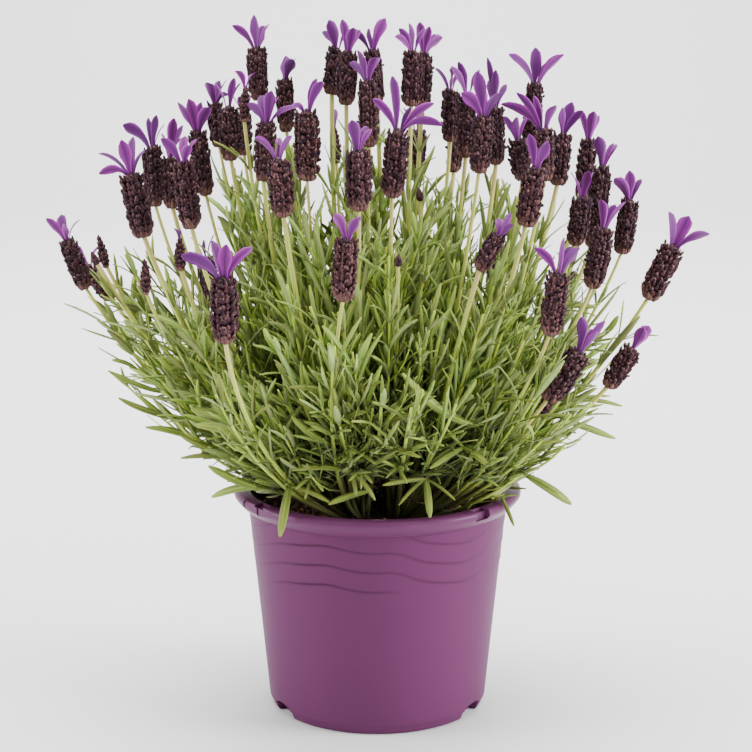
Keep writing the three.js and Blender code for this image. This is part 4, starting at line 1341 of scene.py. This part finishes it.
class Habit(Enum):
    """How a stem carries its leaves: where they start on it, their pitch, and the share with a side shoot."""

    FLOWERING = (0.24, 14.0, 0.35)
    LEAFY = (0.29, 12.5, 0.4)


@dataclass(frozen=True)
class LeafKind:
    """A kind of leaf.

    Attributes:
        size: Shortest and longest leaf.
        half: Half the width of a leaf.
        opening: Least and most degrees between leaf and stem.
        curl: Least and most degrees by which it bends on.
        stations: Points along a leaf.
    """

    size: tuple[float, float]
    half: float
    opening: tuple[float, float]
    curl: tuple[float, float]
    stations: int


LARGE_LEAF = LeafKind((18, 40), 1.4, (10, 36), (-24, 44), 6)
SMALL_LEAF = LeafKind((10, 23), 0.9, (8, 32), (-40, 40), 4)
TUFT_LEAF = LeafKind((9, 21), 0.85, (10, 38), (-50, 50), 4)


def blade(at: Array) -> Array:
    """Returns a leaf's width along it as a share of its most: nearly even, with a blunt tip."""
    return np.interp(at, (0, 0.1, 0.3, 0.6, 0.84, 0.95, 1), (0.45, 0.68, 0.92, 1.0, 0.84, 0.58, 0.33))


@dataclass(frozen=True)
class Axils:
    """Places on stems where leaves and side shoots stand.

    Attributes:
        control: Control points of the stems.
        stem: The stem of each place.
        at: How far along its stem each place is.
        rank: The place's number on its stem, which turns it by a right angle each.
    """

    control: Array
    stem: Ints
    at: Array
    rank: Array

    def pick(self, which: Array) -> "Axils":
        """Returns some of the places."""
        return replace(self, stem=self.stem[which], at=self.at[which], rank=self.rank[which])

    def sockets(self, turn: Array) -> tuple[Array, Array, Array]:
        """Finds the places in the room.

        Args:
            turn: The angle about the stem at which something leaves each.

        Returns:
            The places, the stems' ways there and the ways out.
        """
        curves = self.control[self.stem]
        base = bezier(curves, self.at[:, None])[:, 0]
        way = bezier_way(curves, self.at[:, None])[:, 0]
        aside = unit(np.cross(curves[:, 3] - curves[:, 0], UP) + 1e-6)
        aside = unit(aside - (aside * way).sum(axis=1, keepdims=True) * way)
        return base, way, np.cos(turn)[:, None] * aside + np.sin(turn)[:, None] * np.cross(way, aside)


@dataclass
class Branch:
    """One branch of the plant: its stems as cubic curves from the soil, and their leaves.

    Attributes:
        sector: Its slice of the plant.
        flowers: Its own flowers.
        heads: All flowers, which its leaves stay clear of.
        rng: The seeded source of the scatter.
        crown_radius: How far from the middle it stands.
        crown_share: How far apart its stems start, as a share of how far apart they end.
        crown_oval: Half lengths of the oval in which they start, outwards and across.
        soil: The height where its stems start.
        low_shoots: How many leafy shoots it has round the sides and back.
        high_shoots: How many it has between its stalks.
        sight: The photograph's view.
    """

    sector: int
    flowers: Sequence[Flower]
    heads: Sequence[Flower]
    rng: Rng
    crown_radius: float = 20.0
    crown_share: float = 0.1
    crown_oval: tuple[float, float] = (9.4, 6.8)
    soil: float = 103.0
    low_shoots: int = 6
    high_shoots: int = 8
    sight: Sight = field(default_factory=Sight)

    @property
    def middle(self) -> float:
        """The angle of the middle of the slice."""
        return math.radians(FIRST_SLICE + 360 / SLICES * (self.sector + 0.5))

    @property
    def trunk(self) -> Array:
        """Where the branch stands in the soil."""
        return np.array([math.cos(self.middle), math.sin(self.middle), 0]) * self.crown_radius

    def inside(self, points: Array, margin: float) -> Array:
        """Returns points moved, where they have to be, to a margin inside the slice."""
        moved = points.copy()
        low = self.middle - math.pi / SLICES
        high = self.middle + math.pi / SLICES
        walls = np.array([[-math.sin(low), math.cos(low), 0], [math.sin(high), -math.cos(high), 0]])
        for wall in walls:
            moved += np.maximum(margin - moved @ wall, 0)[..., None] * wall
        return moved

    def depth(self, points: Array, dark: float, light: float) -> Array:
        """Returns how much painted shade points get, for the shaded inside of the plant: 1 up to a distance
        from the crown and evenly down to 0 farther out.
        """
        return np.interp(np.linalg.norm(points - (0, 0, self.soil), axis=1), (dark, light), (1.0, 0.0))

    def starts(self, ends: Array) -> Array:
        """Returns where stems leave the soil: a small copy of where their ends lie, within an oval."""
        out = unit(self.trunk)
        across = np.array([-out[1], out[0], 0])
        offset = (ends - ends.mean(axis=0)) * (self.crown_share, self.crown_share, 0)
        far = np.hypot(offset @ out / self.crown_oval[0], offset @ across / self.crown_oval[1])
        return self.trunk + (0, 0, self.soil) + offset / np.maximum(far, 1)[:, None]

    def stalks(self) -> Array:
        """Returns the flower stalks' control points.

        A stalk runs outwards for 0.38 of its way while it climbs 0.1 of its reach, swings aside there by its
        bend, and comes into the spike along a way that is mostly straight and partly the spike's own.
        """
        ends = np.array([flower.base + flower.axis * 1.5 for flower in self.flowers])
        axes = np.array([flower.axis for flower in self.flowers])
        starts = self.starts(ends)
        reach = np.linalg.norm(ends - starts, axis=1, keepdims=True)
        aside = unit(np.cross(ends - starts, UP)) * np.array([[flower.bend] for flower in self.flowers])
        low = starts * 0.62 + ends * 0.38 + aside
        low[:, 2:] = starts[:, 2:] + 0.1 * reach
        way = unit(unit(ends - low) * 0.65 + axes * 0.35)
        high = ends - way * 0.34 * reach + aside / 2
        low, high = self.inside(low, margin=2.2), self.inside(high, margin=2.2)
        return np.stack([starts, low, high, ends], axis=1)

    def arching(self, ends: Array, upright: float) -> Array:
        """Returns the control points of shoots that lean out from the soil and turn up towards given ends.

        The second control point lies 0.4 of the way out, at 0.38 of the climb and 6 mm more. The third lies
        behind the end by 0.36 of the reach, along a way outwards and up.

        Args:
            ends: Where the shoots end.
            upright: How much their ends point up, against one outwards.

        Returns:
            The control points.
        """
        starts = self.starts(ends)
        reach = np.linalg.norm(ends - starts, axis=1, keepdims=True)
        way = unit(unit(ends * FLAT) + (0, 0, upright))
        low = starts * 0.6 + ends * 0.4
        low[:, 2] = starts[:, 2] * 0.62 + ends[:, 2] * 0.38 + 6
        return np.stack([starts, low, ends - way * reach * 0.36, ends], axis=1)

    def free_shoots(self) -> Array:
        """Returns the leafy shoots that stand alone: low ones round the sides and back, high ones between."""
        rng = self.rng
        count = self.low_shoots + self.high_shoots
        k = np.arange(count)
        low = k < self.low_shoots
        angle = self.middle + math.radians(360 / SLICES) * ((0.1 + 0.618 * k) % 1 - 0.5)
        rise = np.radians(np.where(low, rng.uniform(-10, 18, count), rng.uniform(22, 84, count)))
        rise = np.where(np.sin(angle) < -0.55, np.maximum(rise, 0.6), rise)
        reach = np.where(low, rng.uniform(84, 108, count), rng.uniform(88, 118, count)) * np.cos(rise) ** 0.8
        height = 150 + np.where(low, 60, 114) * np.sin(rise) * rng.uniform(0.8, 1.0, count)
        free = np.stack([reach * np.cos(angle), reach * np.sin(angle), height], axis=-1)
        return self.arching(self.inside(free, margin=2.0), upright=1.4)

    def companions(self, stalks: Array) -> Array:
        """Returns leafy shoots that keep to the stalks.

        Each is the part of a stalk's curve up to a share of it, whose control points are those of de
        Casteljau's construction, moved aside more and more towards its end. A branch with few stalks has more
        of them a stalk, and the right side, where the plant is thinner, fewer.

        Args:
            stalks: The stalks' control points.

        Returns:
            The control points.
        """
        each = 5 if len(stalks) < 9 else 3 if self.trunk[0] < 0 else 2
        beside = np.repeat(np.arange(len(stalks)), each)
        share = self.rng.uniform(0.55, 0.93, (len(beside), 1, 1))
        row = stalks[beside]
        part = [row[:, :1]]
        while row.shape[1] > 1:
            row = row[:, :-1] * (1 - share) + row[:, 1:] * share
            part.append(row[:, :1])
        shift = self.rng.normal(0, 1, (len(beside), 1, 3)) * (9, 9, 5)
        moved = np.concatenate(part, axis=1) + shift * np.array([[[0], [0.4], [0.8], [1]]])
        return self.inside(moved, margin=1.5)

    def tubes(self, control: Array, radius: float, tip: float, most: float, stations: int) -> Skin:
        """Returns stems along their curves, six-sided, or four-sided where they have few stations.

        Args:
            control: Control points of the curves.
            radius: Radius at the crown.
            tip: Radius at the end.
            most: The mark that the stems' ends get for along, which their colour follows.
            stations: Points along each stem.

        Returns:
            The skin.
        """
        count = len(control)
        at = np.tile(np.linspace(0, 1, stations), (count, 1))
        aside = np.cross(control[:, 3] - control[:, 0], UP)
        half = np.interp(at[0], (0, 1), (radius, tip)) * self.rng.uniform(0.7, 1.1, (count, 1))
        sides = 6 if stations > 6 else 4
        tone = self.rng.uniform(0, 1, count)
        skin = sweep(bezier(control, at), unit(aside + 1e-6), half, half, sides, tone=tone)
        skin.marks["along"] *= most
        # The share of the woody colour and painted shade near the crown.
        skin.marks["depth"] = self.depth(skin.points, dark=52, light=104)
        return skin

    def clear(self, spine: Array) -> NDArray[np.bool_]:
        """Tells which spines stay clear of every flower head.

        A point's place along a head is its projection on the head's axis, held between foot and top, and its
        distance from there has to be more than the head's radius.

        Args:
            spine: Points along each body, shape (bodies, stations, 3).

        Returns:
            Whether each body is clear.
        """
        foot = np.array([head.base - head.axis * 1.5 for head in self.heads])
        way = np.array([head.axis for head in self.heads])
        length = np.array([np.linalg.norm(head.top - head.base) + 6 for head in self.heads])
        radius = np.array([head.thick / 2 + 1.2 for head in self.heads])
        from_foot = spine[:, :, None] - foot
        along = np.clip((from_foot * way).sum(axis=-1), 0, length)
        gap = np.linalg.norm(from_foot - along[..., None] * way, axis=-1)
        return (gap > radius).all(axis=(1, 2))

    def side_shoots(self, axils: Axils, share: float) -> Array:
        """Returns the control points of short shoots that leave a stem in leaf axils and turn up beside it.

        Args:
            axils: The axils.
            share: How many of them bear one, around the stem's middle.

        Returns:
            The control points.
        """
        rng = self.rng
        bearing = share * np.interp(axils.at, (0.25, 0.7, 1.0), (1.3, 0.9, 0.0))
        axils = axils.pick(rng.uniform(0, 1, len(axils.stem)) < bearing)
        count = len(axils.stem)
        quarter = axils.rank + 2 * rng.integers(0, 2, count)
        base, way, out = axils.sockets(quarter * np.pi / 2 + axils.stem * 1.7 + rng.normal(0, 0.3, count))
        length = (rng.uniform(12, 34, count) * np.interp(axils.at, (0.3, 1), (1.1, 0.6)))[:, None]
        first = unit(way + out * rng.uniform(0.7, 1.4, (count, 1)))
        last = unit(way + out * 0.3 + (0, 0, 0.25))
        end = base + (first + last) * length / 2
        side = np.stack([base, base + first * 0.35 * length, end - last * 0.3 * length, end], axis=1)
        side = Room.lifted(side)
        return side[self.clear(side)]

    def foliage(self, control: Array, bare: Array, habit: Habit) -> tuple[list[Skin], Array]:
        """Returns the leaves of stems: opposite pairs a quarter turn apart, small ones above, side shoots.

        Args:
            control: Control points of the stems.
            bare: The length without leaves at each stem's end.
            habit: Where the stems carry leaves.

        Returns:
            The skins, and the control points of the side shoots.
        """
        low, pitch, share = habit.value
        lengths = np.linalg.norm(np.diff(control, axis=1), axis=2).sum(axis=1) * 0.93
        high = 1 - bare / lengths
        nodes = np.maximum((lengths * (high - low) / pitch).round().astype(int), 2)
        stem = np.repeat(np.arange(len(control)), nodes)
        rank = np.concatenate([np.arange(n) for n in nodes])
        at = low + (high[stem] - low) * (rank + self.rng.uniform(-0.2, 0.2, len(rank)) + 0.3) / nodes[stem]
        axils = Axils(control, stem, np.clip(at, 0.03, 0.99), rank)
        large = self.leaf_set(axils, LARGE_LEAF)
        small = self.leaf_set(replace(axils, rank=rank + 0.6), SMALL_LEAF)
        sides = self.side_shoots(axils, share)
        places = np.array([0.35, 0.66, 0.96])
        at = np.tile(places, len(sides))
        at = np.clip(at + self.rng.uniform(-0.08, 0.08, len(at)), 0, 1)
        stem = np.repeat(np.arange(len(sides)), len(places))
        tufts = self.leaf_set(Axils(sides, stem, at, np.tile(np.arange(len(places)), len(sides))), TUFT_LEAF)
        return [large, small, tufts], sides

    def leaf_set(self, axils: Axils, kind: LeafKind) -> Skin:
        """Returns one kind of leaf, in pairs at given places on the stems.

        A leaf's spine starts on the stem at an opening angle to it and bends on by a further angle, so it is
        the running sum of steps (cos a along the stem, sin a away from it) with a growing evenly from base to
        tip.

        Args:
            axils: The places.
            kind: The kind of leaf.

        Returns:
            The skin.
        """
        rng = self.rng
        axils = axils.pick(np.repeat(np.arange(len(axils.stem)), 2))
        count = len(axils.stem)
        turn = axils.rank * np.pi / 2 + np.arange(count) % 2 * np.pi + axils.stem * 1.7
        base, way, out = axils.sockets(turn + rng.normal(0, 0.3, count))
        grown = np.interp(axils.at, (0, 0.25, 0.8, 1), (0.9, 1.0, 0.95, 0.7))
        length = rng.uniform(*kind.size, count) * grown
        t = np.linspace(0, 1, kind.stations)
        opening = rng.uniform(*kind.opening, count) * np.interp(axils.at, (0, 0.5, 1), (1.9, 1.1, 0.7))
        angle = np.radians(opening)[:, None] + np.radians(rng.uniform(*kind.curl, count))[:, None] * t
        steps = way[:, None] * np.cos(angle)[..., None] + out[:, None] * np.sin(angle)[..., None]
        walked = np.cumsum(steps[:, :-1] + steps[:, 1:], axis=1) / 2
        run = np.concatenate([np.zeros((count, 1, 3)), walked], axis=1)
        spine = base[:, None] + run * (length / (kind.stations - 1))[:, None, None]
        sag = (rng.uniform(0, 0.11, count) * length)[:, None] * t**2
        spine = Room.lifted(spine - sag[..., None] * UP)
        width = kind.half * rng.uniform(0.7, 1.3, (count, 1)) * blade(t)
        facing = unit(way * 0.9 - out * 0.4 + rng.normal(0, 0.22, (count, 3)))
        keep = self.clear(spine) & Room.dry(spine, rng.uniform(0, 16, count) ** 2 / 16)
        facing = twisted(facing, spine, rng.normal(0, 0.5, (count, 1)) * t)
        tone = rng.uniform(0, 1, count)
        thick = np.full_like(width, 0.26)
        skin = sweep(spine[keep], facing[keep], width[keep], thick[keep], 4, cup=0.3, tone=tone[keep])
        # The painted shade of leaves near the crown.
        skin.marks["depth"] = self.depth(skin.points, dark=50, light=112)
        return skin

    def last_leaves(self, sprays: Sequence[Spray]) -> Skin:
        """Returns the leaves that stand out: each arches from its spray's end to a tip in the photograph."""
        rng = self.rng
        rows = [(spray.end, leaf) for spray in sprays for leaf in spray.leaves]
        base = np.array([self.sight.place(*end) for end, _ in rows])
        tip = np.array([self.sight.place(*leaf[:3]) for _, leaf in rows])
        half = np.array([leaf[3] for _, leaf in rows])
        count = len(rows)
        length = np.linalg.norm(tip - base, axis=1)
        hooked = np.where(tip[:, 2] > base[:, 2] + 8, -0.9, 1.0)
        rise = UP * (hooked * length * rng.uniform(0.04, 0.18, count))[:, None]
        t = np.linspace(0, 1, 9)
        spine = quadratic(base, (base + tip) / 2 + rise, tip, t)
        facing = unit(unit(base * FLAT) * 0.3 + np.array([0, -0.8, 0.6]) + rng.normal(0, 0.15, (count, 3)))
        facing = twisted(facing, spine, rng.normal(0, 0.35, (count, 1)) * t)
        width = 1.12 * half[:, None] * blade(t)
        tone = rng.uniform(0.0, 0.55, count)
        return sweep(spine, facing, width, np.full_like(width, 0.3), 8, cup=0.3, tone=tone)

    def build(self, leaf: bpy.types.Material, stalk: bpy.types.Material) -> None:
        """Makes the branch's stems and leaves in the place of its solid.

        Args:
            leaf: The leaves' material.
            stalk: The stems' material.
        """
        stalks = self.stalks()
        shoots = np.concatenate([self.free_shoots(), self.companions(stalks)])
        shoots = shoots[self.clear(bezier(shoots, np.tile(np.linspace(0, 1, 12), (len(shoots), 1))))]
        sprays = [spray for spray in SPRAYS if slice_of(self.sight.place(*spray.end)) == self.sector]
        if sprays:
            led = self.arching(np.array([self.sight.place(*spray.end) for spray in sprays]), upright=0.4)
            shoots = np.concatenate([shoots, led])
        forward = np.array([max(-flower.foot[1], 0) for flower in self.flowers])
        bare = 22 * self.rng.uniform(0.6, 1.5, len(stalks)) + 0.35 * forward
        leaves, first_sides = self.foliage(stalks, bare, Habit.FLOWERING)
        more, sides = self.foliage(shoots, np.full(len(shoots), 2.0), Habit.LEAFY)
        leaves += more
        stems = [
            self.tubes(stalks, radius=1.5, tip=1.15, most=1.0, stations=20),
            self.tubes(shoots, radius=1.35, tip=0.7, most=0.5, stations=16),
            self.tubes(np.concatenate([first_sides, sides]), radius=0.6, tip=0.4, most=0.4, stations=4),
        ]
        if sprays:
            leaves.append(self.last_leaves(sprays))
        for name, skins, material in (("stems", stems, stalk), ("leaves", leaves, leaf)):
            piece = make_piece(f"{name}_{self.sector + 1}", skins, [material])
            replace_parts(piece, f"branch_{self.sector + 1}")


@dataclass
class Plant:
    """The whole plant: every flower goes to the branch in whose slice its foot lies.

    Attributes:
        rng: The seeded source of the scatter.
    """

    rng: Rng

    def build(self) -> None:
        """Makes the branches and the flower heads."""
        leaf, stalk = LeafFinish().make(), StalkFinish().make()
        heads = [*FLOWERS, *FAR_FLOWERS, *BUDS]
        for sector in range(SLICES):
            own = [(k, flower) for k, flower in enumerate(heads) if slice_of(flower.foot) == sector]
            Branch(sector, [flower for _, flower in own], heads, self.rng).build(leaf, stalk)
            nodes = [f"flower_head_{k + 1:02d}" for k, _ in own if k < len(FLOWERS)]
            FlowerHeads(own, self.rng).build(f"flowers_{sector + 1}", nodes)


# The studio


@dataclass(frozen=True)
class Lamp:
    """A square soft light, in metres and watts.

    Attributes:
        name: Its name.
        place: Where it hangs.
        size: The length of its side.
        watts: Its power.
        at: What it looks at, which is the plant's middle where nothing is given.
    """

    name: str
    place: tuple[float, float, float]
    size: float
    watts: float
    at: tuple[float, float, float] = (0.0, 0.0, 0.18)

    def build(self) -> None:
        """Hangs the lamp."""
        data = bpy.data.lights.new(self.name, "AREA")
        data.size = self.size
        data.energy = self.watts
        lamp = put_in(self.name, data)
        lamp.location = self.place
        lamp.rotation_euler = (Vector(self.at) - Vector(self.place)).to_track_quat("-Z", "Y").to_euler()


@dataclass
class Studio:
    """A pale floor that curves up behind, soft lights and the camera of the photograph; metres throughout.

    Attributes:
        sight: The photograph's view.
        film: The width of the camera's picture, in millimetres.
        front: How far the floor reaches towards the camera.
        behind: How far behind the plant the backdrop stands.
        bend: Radius of the bend between them.
        top: Height of the backdrop.
        side: How far both reach to either side.
        lamps: The lights.
    """

    sight: Sight = field(default_factory=Sight)
    film: float = 36.0
    front: float = 4.0
    behind: float = 3.0
    bend: float = 0.8
    top: float = 4.0
    side: float = 5.0
    lamps: tuple[Lamp, ...] = (
        Lamp("top", (0.0, 0.1, 1.8), 1.6, 50.0),
        Lamp("backdrop", (0.0, 1.3, 2.2), 2.0, 120.0, (0.0, 3.0, 0.4)),
        Lamp("left", (-1.5, -0.15, 0.6), 0.8, 28.0),
        Lamp("right", (1.5, -0.35, 0.6), 0.8, 44.0),
        Lamp("front", (0.7, -1.3, 0.3), 0.35, 4.0),
    )

    def camera(self) -> None:
        """Places the camera."""
        data = bpy.data.cameras.new("camera")
        data.sensor_width = self.film
        data.lens = self.sight.focal / self.sight.frame * self.film
        data.shift_x = -self.sight.centre / self.sight.frame
        camera = put_in("camera", data)
        camera.location = (0.0, -self.sight.distance * MM, self.sight.height * MM)
        camera.rotation_euler = (math.pi / 2 - self.sight.pitch, 0.0, 0.0)
        bpy.context.scene.camera = camera

    def floor(self) -> None:
        """Adds the floor, a sheet that bends up into a backdrop behind the plant."""
        turn = np.linspace(0, np.pi / 2, 16)
        depth = np.concatenate([[-self.front], self.behind - self.bend * (1 - np.sin(turn)), [self.behind]])
        rise = np.concatenate([[0.0], self.bend * (1 - np.cos(turn)), [self.top]])
        points = [(x, y, z) for y, z in zip(depth, rise) for x in (-self.side, self.side)]
        faces = [(k, k + 1, k + 3, k + 2) for k in range(0, len(points) - 2, 2)]
        mesh = bpy.data.meshes.new("floor")
        mesh.from_pydata(points, [], faces)
        mesh.polygons.foreach_set("use_smooth", np.ones(len(faces), bool))
        material = bpy.data.materials.new("pale_floor")
        material.use_nodes = True
        Graph(material.node_tree).end({"Base Color": (0.88, 0.88, 0.88, 1.0), "Roughness": 0.85})
        mesh.materials.append(material)
        put_in("floor", mesh)

    def build(self) -> None:
        """Sets the studio up."""
        world = bpy.data.worlds.new("studio")
        world.use_nodes = True
        bpy.context.scene.world = world
        graph = Graph(world.node_tree)
        sky = graph.add("Background", {"Color": (1.0, 1.0, 1.0, 1.0), "Strength": 0.42})
        graph.add("OutputWorld", {"Surface": sky.outputs["Background"]})
        self.camera()
        for lamp in self.lamps:
            lamp.build()
        self.floor()


def main() -> None:
    """Builds the looks piece by piece."""
    logging.basicConfig(level=logging.INFO, format="%(message)s")
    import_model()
    rng = np.random.default_rng(SEED)
    Studio().build()
    Pot().build()
    Soil().build(rng)
    Plant(rng).build()


if __name__ == "__main__":
    main()
